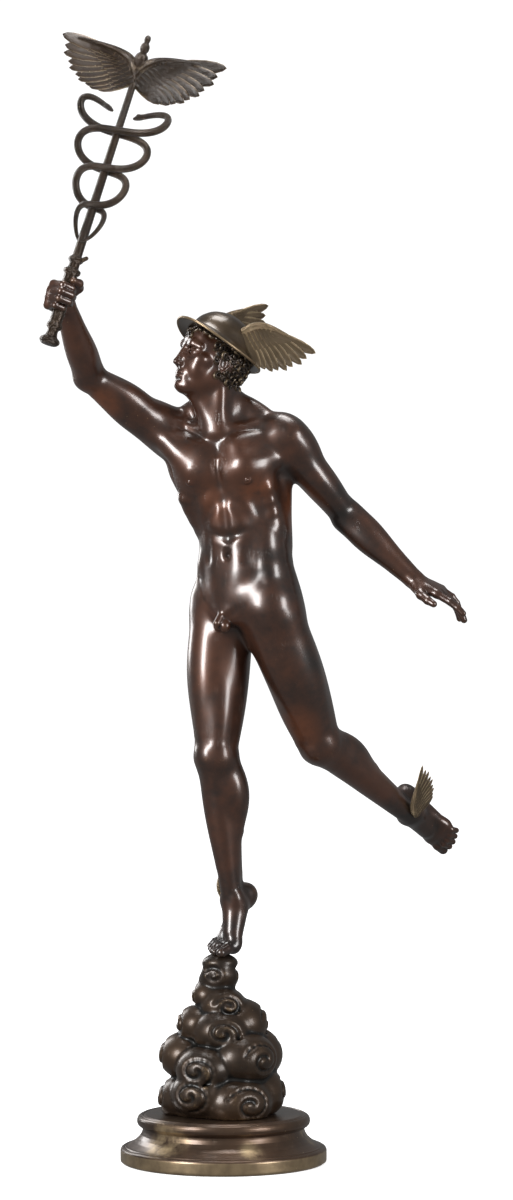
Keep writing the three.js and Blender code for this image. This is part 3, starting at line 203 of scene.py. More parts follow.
@dataclass
class Clay:
    """Shapes pressed together, or pressed out, one after another."""

    steps: list[Step] = field(default_factory=list)
    brick: int = 16
    far: float = 9.0

    # how far a blend is felt, as a share of its width
    BLEND_REACH = 1.6
    # the polish: how often, the step that measures a slope, the least slope and the longest move
    POLISHES, NUDGE, LEAST_SLOPE, LONGEST_MOVE = 2, 0.02, 0.25, 0.12

    def add(self, shape: Shape, blend: float) -> None:
        """Presses a shape on, blended over a width."""
        self.steps.append((shape, blend, 1))

    def carve(self, shape: Shape, blend: float) -> None:
        """Presses a shape out, blended over a width."""
        self.steps.append((shape, blend, -1))

    def lump(
        self, centre: Array, radii: Sequence[float], axes: Array, blend: float, out: bool = False
    ) -> None:
        """Presses an ellipsoid on, or out."""
        (self.carve if out else self.add)(Lump(centre, radii, axes), blend)

    def rod(
        self, start: Array, end: Array, start_radius: float, end_radius: float, blend: float,
        belly: float = 0.0, out: bool = False,
    ) -> None:
        """Presses a spindle on, or out."""
        (self.carve if out else self.add)(Spindle(start, end, start_radius, end_radius, belly), blend)

    def near(self, low: Array, high: Array) -> list[Step]:
        """Finds the steps that can reach into a box.

        Args:
            low: the box's low corner.
            high: its high corner.

        Returns:
            Those steps, in order.
        """
        found = []
        for step in self.steps:
            reach = self.BLEND_REACH * step[1] + 1
            if np.all(step[0].low - reach < high) and np.all(step[0].high + reach > low):
                found.append(step)
        return found

    def value(self, p: Array, steps: Iterable[Step]) -> Array:
        """The clay's field at points: below zero inside it.

        Args:
            p: the points, one a row.
            steps: the steps that matter there.

        Returns:
            One number for each point.
        """
        out = np.full(len(p), self.far)
        for shape, blend, sign in steps:
            d = sign * shape.distance(p)
            fillet = np.maximum(blend - np.abs(out - d), 0) / blend
            out = (np.minimum if sign > 0 else np.maximum)(out, d) - sign * fillet * fillet * blend / 4
        return out

    def lines(self, sample: float, fine: Sequence[Box]) -> list[Array]:
        """Grid lines along each axis, closer together through the fine boxes.

        Args:
            sample: the usual distance between lines.
            fine: boxes as low corner, high corner and the distance inside them.

        Returns:
            The places of the lines along X, Y and Z.
        """
        solid = [s for s, _, sign in self.steps if sign > 0]
        low = np.min([s.low for s in solid], 0) - 2 * sample
        high = np.max([s.high for s in solid], 0) + 2 * sample
        grids = []
        for axis in range(3):
            places = [low[axis]]
            while places[-1] < high[axis] or (len(places) - 1) % self.brick:
                here = places[-1]
                inside = [step for a, b, step in fine if a[axis] <= here < b[axis]]
                places.append(here + min(inside, default=sample))
            grids.append(np.array(places))
        return grids

    def skin(self, sample: float, fine: Sequence[Box] = ()) -> tuple[Array, Array]:
        """The clay's surface as quads, one point for each grid cell that it crosses.

        Args:
            sample: the usual width of a cell.
            fine: boxes where the cells are smaller.

        Returns:
            The points and the quads.
        """
        grids = self.lines(sample, fine)
        n = self.brick
        counts = [(len(g) - 1) // n for g in grids]
        strides = [len(g) + 2 for g in grids]
        keys, places, quads = [], [], []
        for block in np.ndindex(*counts):
            spans = [g[b * n : b * n + n + 1] for g, b in zip(grids, block)]
            low, high = np.array([s[0] for s in spans]), np.array([s[-1] for s in spans])
            steps = self.near(low, high)
            if not any(sign > 0 for _, _, sign in steps):
                continue
            reach = float(np.linalg.norm(high - low)) / 2
            if abs(float(self.value((low + high)[None] / 2, steps)[0])) > 2 * reach + 1:
                continue
            grid = np.stack(np.meshgrid(*spans, indexing="ij"), -1)
            f = self.value(grid.reshape(-1, 3), steps).reshape(n + 1, n + 1, n + 1)
            inside = f < 0
            if inside.all() or not inside.any():
                continue
            start = np.array(block) * n
            cells, points = self._cell_points(f, spans)
            for _ in range(self.POLISHES):
                points = self._onto_surface(points, steps)
            keys.append(self._key(cells + start, strides))
            places.append(points)
            quads.extend(self._edge_quads(inside, start, strides))
        key, place, quad = np.concatenate(keys), np.concatenate(places), np.concatenate(quads)
        order = np.argsort(key)
        index = np.searchsorted(key[order], quad).clip(0, len(order) - 1)
        return place[order], index[(key[order][index] == quad).all(1)]

    @staticmethod
    def _key(cells: Array, strides: Sequence[int]) -> Array:
        """One whole number for each cell of the grid."""
        return (cells[:, 0] * strides[1] + cells[:, 1]) * strides[2] + cells[:, 2]

    @staticmethod
    def _cell_points(f: Array, spans: Sequence[Array]) -> tuple[Array, Array]:
        """Finds the cells of a brick that the surface crosses.

        Args:
            f: the field at the brick's grid points.
            spans: the places of its grid lines.

        Returns:
            The cells, and the mean of the crossings on each one's edges.
        """
        n = len(spans[0]) - 1
        inside = f < 0
        corners = [(i, j, k) for i in (0, 1) for j in (0, 1) for k in (0, 1)]
        count = sum(inside[i : n + i, j : n + j, k : n + k].astype(int) for i, j, k in corners)
        cells = np.argwhere((count > 0) & (count < 8))
        total, hits = np.zeros((len(cells), 3)), np.zeros(len(cells))
        for axis in range(3):
            u, v = (axis + 1) % 3, (axis + 2) % 3
            for du in (0, 1):
                for dv in (0, 1):
                    a = cells.copy()
                    a[:, u] += du
                    a[:, v] += dv
                    b = a.copy()
                    b[:, axis] += 1
                    fa, fb = f[tuple(a.T)], f[tuple(b.T)]
                    crossed = (fa < 0) != (fb < 0)
                    t = fa / np.where(crossed, fa - fb, 1)
                    pa = np.stack([spans[i][a[:, i]] for i in range(3)], 1)
                    pb = np.stack([spans[i][b[:, i]] for i in range(3)], 1)
                    total += (pa + (pb - pa) * t[:, None]) * crossed[:, None]
                    hits += crossed
        return cells, total / hits[:, None]

    def _onto_surface(self, points: Array, steps: Iterable[Step]) -> Array:
        """Moves points along the field's slope to where it is zero.

        Args:
            points: points near the surface.
            steps: the steps that matter there.

        Returns:
            The moved points.
        """
        step = self.NUDGE
        here = self.value(points, steps)
        slope = np.stack([(self.value(points + d * step, steps) - here) / step for d in np.eye(3)], 1)
        move = slope * (here / np.maximum((slope * slope).sum(1), self.LEAST_SLOPE))[:, None]
        length = np.linalg.norm(move, axis=1, keepdims=True)
        return points - move * np.minimum(1, self.LONGEST_MOVE / np.maximum(length, 1e-9))

    def _edge_quads(self, inside: Array, start: Array, strides: Sequence[int]) -> list[Array]:
        """Puts a quad round each crossed edge of a brick.

        Args:
            inside: which of the brick's grid points are inside the clay.
            start: the brick's first cell.
            strides: the grid's size, for the keys.

        Returns:
            Quads of cell keys, facing out.
        """
        n = self.brick
        made = []
        here = inside[:n, :n, :n]
        for axis in range(3):
            u, v = (axis + 1) % 3, (axis + 2) % 3
            window = [slice(0, n)] * 3
            window[axis] = slice(1, n + 1)
            edges = np.argwhere(here != inside[tuple(window)])
            if not len(edges):
                continue
            leaving = here[tuple(edges.T)]
            edges = edges + start
            du, dv = np.zeros(3, int), np.zeros(3, int)
            du[u], dv[v] = 1, 1
            ring = np.stack([self._key(edges - d, strides) for d in (du + dv, dv, 0 * du, du)], 1)
            ring[~leaving] = ring[~leaving][:, ::-1]
            made.append(ring)
        return made


@dataclass(frozen=True)
class Bone:
    """A straight bone with a front and an outer side, which muscles are placed on."""

    start: Array
    end: Array
    way: Array
    front: Array
    side: Array

    @classmethod
    def between(cls, start: Array, end: Array, front: Array, outer: Array) -> "Bone":
        """Makes a bone whose front and outer side are squared to its length.

        Args:
            start: the upper joint.
            end: the lower joint.
            front: roughly the way of its front.
            outer: roughly the way of its outer side.

        Returns:
            The bone.
        """
        way = unit(end - start)
        ahead = unit(across(front, way))
        side = unit(across(across(outer, way), ahead))
        return cls(start, end, way, ahead, side)

    @property
    def axes(self) -> Array:
        """The outer side, the front and the length, as rows."""
        return np.array([self.side, self.front, self.way])

    def at(self, along: float, front: float = 0.0, side: float = 0.0) -> Array:
        """A point from a share of the length, and how far to the front and the outer side."""
        return self.start + (self.end - self.start) * along + self.front * front + self.side * side


@dataclass(frozen=True)
class Limb:
    """The joints of one side of the man."""

    hip: Array
    knee: Array
    ankle: Array
    shoulder: Array
    elbow: Array
    wrist: Array


class Skeleton:
    """The pose: joints and the turn of the hips, chest and head, in hundredths."""

    CHEST_RISE = 19.8
    THIGH, SHIN = 24.5, 24.0
    UPPER_ARM, FOREARM = 17.2, 15.0
    HAT_TILT = (0.0, -17.0, 0.0)
    HAT_PLACE = (0.0, 1.0, 2.75)

    def __init__(self) -> None:
        """Places the joints from the standing foot up."""
        self.pelvis_axes = turned(-42, -4, 5)
        self.chest_axes = turned(-16, 6, -7)
        self.head_axes = turned(-62, -15, 2)
        self.hat_axes = tilted(self.head_axes, *self.HAT_TILT)
        self.toe = unit(vec(-0.66, -0.75, 0))
        left = self.pelvis_axes[0]
        back = unit(vec(self.pelvis_axes[1][0], self.pelvis_axes[1][1], 0))
        up = vec(0, 0, 1)
        ankle_right = self.toe * -3.1 + up * 8.4
        knee_right = ankle_right + self.SHIN * unit(self.toe * 0.17 + up)
        hip_right = knee_right + self.THIGH * unit(self.toe * -0.11 + vec(-0.03, 0, 1))
        self.pelvis = hip_right + left * 5
        hip_left = self.pelvis + left * 5
        knee_left = hip_left + self.THIGH * unit(back * 0.46 + left * 0.05 - up * 0.88)
        ankle_left = knee_left + self.SHIN * unit(back * 0.84 + left * 0.1 - up * 0.5)
        self.chest = self.pelvis + vec(-2.4, -0.6, self.CHEST_RISE)
        self.neck = self.chest + vec(0, 0.3, 9) @ self.chest_axes
        self.head = self.neck + vec(-1.9, -1.5, 10.8)
        shoulder_right = self.chest + vec(-8.9, 0.2, 8.9) @ self.chest_axes
        shoulder_left = self.chest + vec(9.7, 0.9, 6.3) @ self.chest_axes
        elbow_right = shoulder_right + self.UPPER_ARM * unit(vec(-0.72, -0.4, 0.52))
        elbow_left = shoulder_left + self.UPPER_ARM * unit(vec(0.6, 0.3, -0.74))
        wrist_right = elbow_right + self.FOREARM * unit(vec(-0.22, -0.66, 0.72))
        wrist_left = elbow_left + self.FOREARM * unit(vec(0.72, -0.12, -0.68))
        self.right = Limb(hip_right, knee_right, ankle_right, shoulder_right, elbow_right, wrist_right)
        self.left = Limb(hip_left, knee_left, ankle_left, shoulder_left, elbow_left, wrist_left)
        self.staff_way = unit(vec(0.3, 0.12, 0.95))
        self.trailing_front = unit(-self.pelvis_axes[1] + self.pelvis_axes[0] * 0.25 - vec(0, 0, 0.35))

    def limb(self, side: int) -> Limb:
        """The limbs of the right (-1) or the left (1) side."""
        return self.left if side > 0 else self.right

    def _chest_share(self, z: float) -> float:
        """How much of a height on the trunk turns with the chest."""
        t = min(max(z / self.CHEST_RISE, 0.0), 1.0)
        return t * t * (3 - 2 * t)

    def torso(self, x: float, y: float, z: float) -> Array:
        """Finds a point of the bent and turned trunk.

        Args:
            x: how far to the left it is when the trunk stands straight.
            y: how far to the back.
            z: how high above the hips.

        Returns:
            Where the point is in the pose.
        """
        low = self.pelvis + vec(x, y, z) @ self.pelvis_axes
        high = self.chest + vec(x, y, z - self.CHEST_RISE) @ self.chest_axes
        share = self._chest_share(z)
        return low * (1 - share) + high * share

    def torso_axes(self, z: float) -> Array:
        """Mixes the axes of the hips and the chest.

        Args:
            z: the height above the hips.

        Returns:
            The trunk's axes there, as rows.
        """
        share = self._chest_share(z)
        mix = self.pelvis_axes * (1 - share) + self.chest_axes * share
        side = unit(mix[0])
        top = unit(across(mix[2], side))
        return np.array([side, np.cross(top, side), top])

    def head_at(self, x: float, y: float, z: float) -> Array:
        """A point of the head, from its left, back and height."""
        return self.head + vec(x, y, z) @ self.head_axes

    def hat_at(self, x: float, y: float, z: float) -> Array:
        """A point of the hat, whose brim lies level with its own X and Y."""
        return self.head_at(*self.HAT_PLACE) + vec(x, y, z) @ self.hat_axes

    def hand(self, side: int) -> "Hand":
        """Sets up one hand's frame.

        Args:
            side: -1 for the right hand, which holds the staff, and 1 for the open left hand.

        Returns:
            The hand, at its wrist.
        """
        if side < 0:
            way = unit(across(self.right.wrist - self.right.elbow, self.staff_way))
            palm = unit(np.cross(self.staff_way, way))
            return Hand(self.right.wrist, way, palm, unit(np.cross(palm, way)) * -1)
        way = unit(vec(0.88, -0.2, -0.42))
        palm = unit(across(vec(-0.3, 0.3, -0.9), way))
        return Hand(self.left.wrist, way, palm, unit(np.cross(palm, way)))


@dataclass(frozen=True)
class Hand:
    """A hand's frame: the way to the knuckles, out of the palm and towards the thumb."""

    wrist: Array
    way: Array
    palm: Array
    thumb: Array

    @property
    def axes(self) -> Array:
        """Towards the thumb, out of the palm and to the knuckles, as rows."""
        return np.array([self.thumb, self.palm, self.way])

    def at(self, forward: float, out: float, over: float) -> Array:
        """A point from the wrist: forward, out of the palm and over towards the thumb."""
        return self.wrist + self.way * forward + self.palm * out + self.thumb * over


# Muscles as (start, end, start radius, end radius, belly, blend), each end as along, front, side.
THIGH: tuple[MuscleRow, ...] = (
    ((-0.02, -0.2, 0.2), (1, 0, 0), 4.5, 2.9, 0.5, 2),
    ((0.06, 1.8, 0.5), (0.84, 1.4, 0.2), 2.1, 1.5, 1.4, 1.4),
    ((0.08, 0.3, 2.3), (0.84, 0.6, 1.6), 2.2, 1.2, 1.1, 1.4),
    ((0.46, 1.1, -1.5), (0.92, 1.3, -1.6), 1.5, 1.35, 0.5, 1),
    ((0.04, -0.4, -2.2), (0.62, -0.2, -1.4), 2.7, 1.3, 0.5, 1.4),
    ((0.06, -2.2, 0.9), (0.97, -1.2, 1.7), 2.1, 0.85, 1, 1.2),
    ((0.06, -2.1, -0.9), (0.99, -1.2, -1.6), 1.9, 0.85, 0.9, 1.2),
)
SHIN: tuple[MuscleRow, ...] = (
    ((0.02, 0, 0), (0.98, 0, 0), 2.6, 1.55, 0, 1.5),
    ((0.12, 1.15, -0.3), (0.92, 0.55, -0.35), 1.25, 0.85, 0, 1),
    ((0.1, 0.9, 1.1), (0.74, 0.7, 0.3), 1.2, 0.8, 0.5, 1),
    ((0.1, 0, 1.7), (0.72, -0.3, 0.9), 1.1, 0.8, 0.35, 1),
    ((0.02, -1.3, -1.2), (0.52, -1.7, -1), 1.6, 1.1, 1.35, 1),
    ((0.02, -1.2, 1.3), (0.47, -1.6, 1.1), 1.5, 1, 1.1, 1),
    ((0.22, -1, 0), (0.8, -1.1, 0), 2.1, 1, 0.4, 1),
    ((0.55, -1.5, 0), (0.97, -1.9, 0), 0.9, 0.75, 0, 0.9),
)
UPPER_ARM: tuple[MuscleRow, ...] = (
    ((0, 0, 0), (1, 0, 0), 2.8, 1.95, 0.1, 1.8),
    ((0.03, 1.3, 0.9), (0.45, 0.6, 0.9), 2, 1, 0.4, 1),
    ((0.03, -1.2, 0.9), (0.45, -0.4, 1), 2, 1, 0.4, 1),
    ((0.2, 1.1, -0.1), (0.94, 0.8, 0), 1.5, 0.95, 1, 0.9),
    ((0.14, -1, 0.3), (0.74, -0.9, 0.4), 1.5, 0.9, 0.8, 0.9),
    ((0.16, -1, -0.6), (0.84, -0.8, -0.5), 1.4, 0.9, 0.6, 0.9),
)
FOREARM: tuple[MuscleRow, ...] = (
    ((0, 0, 0), (1, 0, 0), 1.95, 1.4, 0.25, 1.2),
    ((-0.1, 0.6, 1), (0.68, 0.3, 0.5), 1.1, 0.75, 0.75, 0.9),
    ((0, 0.3, -0.9), (0.7, 0.3, -0.4), 1.2, 0.8, 0.7, 0.9),
    ((0.03, -0.7, 0.4), (0.72, -0.4, 0.2), 1.1, 0.8, 0.5, 0.9),
)
FINGER_BONES: tuple[Triple, ...] = ((2.6, 1.6, 1.2), (2.9, 1.8, 1.25), (2.7, 1.7, 1.2), (2.1, 1.3, 1.1))
FINGER_RADII = (0.66, 0.68, 0.64, 0.56)


@dataclass
class Head:
    """The head as clay: the neck, a calm, regular face, the ears and the mass of the hair."""

    bones: Skeleton
    clay: Clay

    def put(
        self, x: float, y: float, z: float, radii: Triple, blend: float,
        turn: Triple = (0, 0, 0), out: bool = False,
    ) -> None:
        """Presses a lump on the head, or out of it."""
        self.clay.lump(self.bones.head_at(x, y, z), radii, tilted(self.bones.head_axes, *turn), blend, out)

    def draw(self, blend: float, *points: Spot, out: bool = False) -> None:
        """Lays a line on the head, or cuts one in.

        Args:
            blend: how softly it joins.
            *points: the places it goes through, each with the line's radius there.
            out: whether it is cut in.
        """
        at = self.bones.head_at
        for (*start, thick), (*end, thin) in zip(points, points[1:]):
            self.clay.rod(at(*start), at(*end), thick, thin, blend, out=out)

    def build(self) -> None:
        """Builds the neck, the skull and the jaw, then what is on them."""
        at, torso, rod = self.bones.head_at, self.bones.torso, self.clay.rod
        rod(torso(0, 0.6, 27), at(0, 1.6, -2.2), 3.4, 3.1, 1.8)
        for m in (-1, 1):
            rod(at(m * 2.7, 1.3, -3), torso(m * 0.7, -3.3, 28.4), 0.85, 0.6, 1.6, belly=0.1)
        rod(at(0, -0.9, -5.5), torso(0, -2.4, 28.5), 1.7, 1.2, 2.2)
        self.put(0, 0.8, 1.6, (4.1, 5.1, 4.5), 1)
        self.put(0, -1.6, -1.8, (3, 3.3, 4.2), 1.8)
        self.put(0, -3.75, -5.25, (1.3, 1.05, 1), 1)
        self.put(0, -3.1, 2.5, (2.9, 1.55, 2.2), 1.2)
        for m in (-1, 1):
            self.draw(1.5, (m * 2.9, 0.9, -2.4, 0.9), (m * 1.15, -3.1, -5.25, 0.75))
            self.put(m * 2.05, -2.9, -1.7, (1.3, 1.2, 1.8), 1.5)
            self.put(m * 2.65, -2.7, -0.8, (1, 1.05, 0.6), 1.1)
        self.put(0, 2.1, 0.1, (4.35, 4.45, 4.1), 0.35)
        for m in (-1, 1):
            self.eye(m)
            self.ear(m)
        self.nose()
        self.mouth()

    def eye(self, m: int) -> None:
        """Builds one eye: a shallow socket under a soft brow, and lids cut open over the eyeball.

        Args:
            m: -1 for his right eye and 1 for his left.
        """
        self.put(m * 1.8, -4.95, 0.05, (1.2, 0.75, 0.85), 0.9, out=True)
        self.draw(1, (m * 0.6, -4.42, 1.05, 0.3), (m * 1.7, -4.45, 1.42, 0.3), (m * 2.95, -3.6, 1.05, 0.22))
        self.put(m * 1.7, -3.5, 0, (1.15, 1, 0.98), 0.3)
        crease = ((m * 0.8, -4.3, 0.58, 0.06), (m * 1.6, -4.6, 0.96, 0.07), (m * 2.4, -4.2, 0.68, 0.05))
        self.draw(0.3, *crease, out=True)
        self.put(m * 1.72, -4.35, -0.02, (1, 0.65, 0.42), 0.06, turn=(m * -8, 0, m * 4), out=True)
        self.put(m * 1.7, -3.5, 0, (0.98, 0.9, 0.92), 0.05)

    def nose(self) -> None:
        """Builds a straight nose with its wings and nostrils."""
        self.put(0, -4.45, -1, (0.8, 0.95, 1.7), 0.6)
        self.draw(0.5, (0, -4.5, 1.3, 0.36), (0, -5.78, -1.85, 0.4))
        self.put(0, -5.72, -2.02, (0.5, 0.48, 0.42), 0.35)
        for m in (-1, 1):
            self.put(m * 0.58, -5.05, -2.2, (0.32, 0.5, 0.36), 0.4)
            self.put(m * 0.3, -5.4, -2.6, (0.16, 0.26, 0.16), 0.12, out=True)

    def mouth(self) -> None:
        """Builds closed lips, the groove over them, the furrow below and the chin."""
        self.put(0, -4.1, -3.6, (1.45, 0.9, 1.25), 0.8)
        self.draw(0.25, (0, -5.12, -2.95, 0.1), (0, -5.08, -3.25, 0.12), out=True)
        for m in (-1, 1):
            lip = ((m * 0.16, -4.9, -3.42, 0.27), (m * 0.7, -4.74, -3.45, 0.22), (m * 1.2, -4.4, -3.68, 0.08))
            self.draw(0.2, *lip)
            self.draw(0.22, (0, -4.8, -4.05, 0.34), (m * 0.6, -4.66, -4.01, 0.28))
            self.draw(0.2, (m * 0.6, -4.66, -4.01, 0.28), (m * 1.12, -4.36, -3.8, 0.08))
            parting = ((0, -5.24, -3.73, 0.05), (m * 0.6, -5.06, -3.68, 0.05), (m * 1.25, -4.55, -3.76, 0.05))
            self.draw(0.12, *parting, out=True)
        self.put(0, -4.82, -4.62, (0.75, 0.28, 0.2), 0.45, out=True)
        self.put(0, -4.3, -5.35, (0.85, 0.6, 0.6), 0.6)

    def ear(self, m: int) -> None:
        """Builds one ear: a dished shell with a rim and a lobe.

        Args:
            m: -1 for his right ear and 1 for his left.
        """
        self.put(m * 4, 0.6, -0.6, (0.42, 0.95, 1.45), 0.25, turn=(m * 18, 8, 0))
        self.put(m * 4.42, 0.3, -0.6, (0.25, 0.55, 0.85), 0.2, out=True)
        rim = ((0.1, 0.2), (0.5, 0.62), (1.2, 0.6), (1.75, 0), (1.7, -0.9), (1.2, -1.7), (0.7, -2.2))
        self.draw(0.12, *((m * (4.28 + 0.12 * y), y - 0.3, z + 0.2, 0.17) for y, z in rim))


@dataclass
class Man:
    """The nude youth as clay: trunk, head, limbs, hands and feet, blended into one skin."""

    bones: Skeleton
    clay: Clay = field(default_factory=Clay)
    thigh_bulk: float = 1.07
    shin_bulk: float = 1.05
    upper_arm_bulk: float = 1.12
    forearm_bulk: float = 1.1
    grip_radius: float = 1.06
    sample: float = 0.24
    head_sample: float = 0.14
    face_sample: float = 0.09
    hand_sample: float = 0.17

    def model(self) -> Clay:
        """Presses the whole man together.

        Returns:
            His clay, with the feet cut to the cloud and the fist bored for the staff.
        """
        b = self.bones
        self.trunk()
        for side, front in ((-1, b.toe), (1, b.trailing_front)):
            self.leg(side, front)
        self.feet()
        self.arm(-1, vec(0.385, -0.324, 0.283), vec(-0.3, 0.3, 0.9))
        self.arm(1, vec(0.25, -0.95, -0.1), vec(0.8, 0.1, 0.6))
        Head(b, self.clay).build()
        fist = [(1.15, 1.45, 0.8)] * 4
        thumb = ((0.9, 0.9, 1.4), (1.5, 2.6, 2.5), (2.9, 3.4, 2.9), (4.2, 3.1, 2.9))
        self.fingers(b.hand(-1), fist, 0.02, thumb)
        open_hand = [(0.05, 0.15, 0.12), (0.2, 0.3, 0.2), (0.3, 0.4, 0.25), (0.2, 0.35, 0.25)]
        thumb = ((0.9, 0.4, 1.3), (2.3, 0.9, 2.8), (3.8, 1, 3.7), (5, 1, 4.1))
        self.fingers(b.hand(1), open_hand, 0.16, thumb)
        middle = b.hand(-1).at(*GRIP)
        reach = b.staff_way * 7
        self.clay.rod(middle - reach, middle + reach, self.grip_radius, self.grip_radius, 0.05, out=True)
        self.clay.carve(Slab(0), 0.05)
        return self.clay

    def press(self, x: float, y: float, z: float, radii: Triple, blend: float, **turn: float) -> None:
        """Presses a lump on the trunk, with a yaw, pitch or roll from the trunk's own axes."""
        self.clay.lump(self.bones.torso(x, y, z), radii, tilted(self.bones.torso_axes(z), **turn), blend)

    def strap(
        self, start: Triple | Array, end: Triple | Array, start_radius: float, end_radius: float,
        belly: float, blend: float,
    ) -> None:
        """Lays a long muscle between two places, each on the trunk or given outright."""
        a, b = (self.bones.torso(*p) if isinstance(p, tuple) else p for p in (start, end))
        self.clay.rod(a, b, start_radius, end_radius, blend, belly)

    def groove(self, start: Triple, end: Triple, radius: float, blend: float) -> None:
        """Draws a groove along the trunk."""
        self.clay.rod(self.bones.torso(*start), self.bones.torso(*end), radius, radius, blend, out=True)

    def muscles(self, bone: Bone, rows: Iterable[MuscleRow], bulk: float) -> None:
        """Lays a limb's muscles on its bone.

        Args:
            bone: the bone.
            rows: the muscles.
            bulk: how much larger all of them are made.
        """
        for start, end, start_radius, end_radius, belly, blend in rows:
            a, b = (bone.at(t, front * bulk, side * bulk) for t, front, side in (start, end))
            self.clay.rod(a, b, start_radius * bulk, end_radius * bulk, blend, belly * bulk)

    def trunk(self) -> None:
        """Builds the pelvis, the belly, the ribs and the back, then the lines between the muscles."""
        self.press(0, 0.3, 2.4, (7.9, 5.2, 6), 1)
        self.press(0, -0.15, 9.2, (6.8, 5.05, 7.8), 3)
        self.press(0, 0.3, 19.3, (8, 5.6, 9.2), 3)
        self.press(0, 0.9, 25.4, (7.4, 4.6, 4.8), 3)
        for side in (-1, 1):
            self.half_trunk(side)
        self.press(0, -2.8, 3.6, (4.6, 2.5, 4.4), 2.4)
        self.press(0, -3.5, -1, (2, 1.6, 1.6), 1.4)
        for m in (-1, 1):
            self.press(m * 0.68, -4.9, -3.2, (0.86, 0.9, 1.15), 0.3)
        self.strap((0, -5.1, -1.4), (0.12, -6.25, -3), 0.66, 0.58, 0, 0.3)
        self.strap((0.12, -6.25, -3), (0.14, -6.35, -3.7), 0.54, 0.3, 0, 0.12)
        self.groove((0, -6.3, 23.5), (0, -6, 17.5), 0.2, 1.2)
        self.groove((0, -6.1, 17.5), (0, -6.35, 11.5), 0.1, 1.3)
        for m in (-1, 1):
            self.groove((m * 0.8, -6.5, 18), (m * 5.4, -5.35, 12.8), 0.1, 1.8)
            self.groove((m * 4.3, -5.9, 11.6), (m * 4, -6.1, 7.5), 0.1, 1.5)
            self.groove((m * 0.2, -6.3, 11.2), (m * 4.2, -5.65, 12.4), 0.1, 1.5)
            self.groove((m * 6.6, -3.7, 3.6), (m * 4.6, -5, 0.3), 0.12, 1.5)
            self.groove((m * 4.6, -5, 0.3), (m * 1.7, -5.5, -2), 0.2, 1.3)
            z = 20.2 + (0.9 if m < 0 else 0)
            self.press(m * 4.7, -5.98, z, (0.62, 0.3, 0.62), 0.3)
            self.press(m * 4.75, -6.3, z, (0.2, 0.2, 0.2), 0.12)
        spine = ((0, 6.5, 26), (0, 6.35, 17), (0, 6.05, 10), (0, 6.2, 3))
        for upper, lower in zip(spine, spine[1:]):
            self.groove(upper, lower, 0.2, 2.1)
        self.groove((0, 7.4, 1), (0, 6.6, -5), 0.5, 1.4)
        belly = self.bones.torso_axes(8)
        self.clay.lump(self.bones.torso(0, -6.3, 8.3), (0.32, 0.3, 0.6), belly, 0.9, out=True)
        self.clay.lump(self.bones.torso(0, -5.85, 8.25), (0.16, 0.3, 0.3), belly, 0.35, out=True)

    def half_trunk(self, m: int) -> None:
        """Builds the muscles of one side of the trunk.

        Args:
            m: -1 for his right side, whose raised arm draws the chest up, and 1 for his left.
        """
        b, limb = self.bones, self.bones.limb(m)
        raised = 2.2 if m < 0 else 0.0
        side, behind, up = b.chest_axes
        top = limb.shoulder + up * 2 - side * (m * 1.2)

        def arm(t: float, back: float) -> Array:
            """A point along the upper arm, set back."""
            return limb.shoulder + (limb.elbow - limb.shoulder) * t + behind * back

        self.press(m * 5.2, 0, 9.6, (2.1, 3.6, 4.8), 2.4)
        self.press(m * 5.6, -0.6, 6.7, (2.1, 3.6, 2.3), 2, roll=m * 12)
        self.press(m * 6.5, -0.6, 4.2, (1.5, 2.6, 2.6), 2.4)
        self.strap((m * 1.9, 3.9, 2), (m * 2.2, 4.3, 19), 1.5, 1.6, 0.3, 2.2)
        self.strap((m * 7.2, 2, 22.5), (m * 5, 2.4, 10), 2.7, 1.3, 0.5, 2.4)
        self.strap((m * 7, 2.2, 22), arm(0.18, 0.8), 2.3, 1.3, 0.2, 2)
        self.press(m * 4.9, 4.3, 22.4 + 0.4 * raised, (2.7, 1.5, 4), 1.8, roll=-m * 14)
        self.press(m * 3.9, -3.75, 21.6 + 0.35 * raised, (4.5, 2.5, 3.7), 1.3, yaw=m * 18, roll=m * 12)
        self.strap((m * 4.3, -4, 22.6 + 0.3 * raised), arm(0.18, -0.9), 2.5, 1.7, 0.1, 1.6)
        self.strap((m * 3, -3.2, 25.6), limb.shoulder - behind * 0.5, 1.9, 1.9, 0, 1.9)
        self.strap((m * 1, -3.2, 28.6), top - behind * 0.8, 0.6, 0.65, 0, 1.1)
        self.strap((m * 0.9, 2.2, 33), top + behind * 0.6, 2, 1.4, 0.5, 2.4)
        self.strap((m * 0.9, 2.8, 32), (m * 1.8, 4.3, 22), 1.6, 1.2, 0.3, 2)
        self.strap((m * 1.8, -3.45, 17.2), (m * 1.7, -3.5, 6.5), 1.6, 1.6, 0.1, 2.6)
        self.strap((m * 1.7, -3.45, 7), (m * 1, -3.8, -1), 1.55, 1, 0, 2.6)
        self.strap((m * 6.6, -2.4, 18.6), (m * 6.2, 0.2, 12), 1.3, 0.9, 0.2, 2)
        for i in range(4):
            place = (m * (6.55 - 0.12 * i), -2.7 + 0.7 * i, 18 - 1.9 * i)
            self.press(*place, (0.65, 1.4, 0.65), 1.2, yaw=m * 35, pitch=-20)
        self.press(m * 4.1, 3.3, -0.6, (4.2, 4, 4.9), 1.5)
        self.press(m * 6, 1.6, 2.6, (2.4, 3.2, 3.6), 2.2)

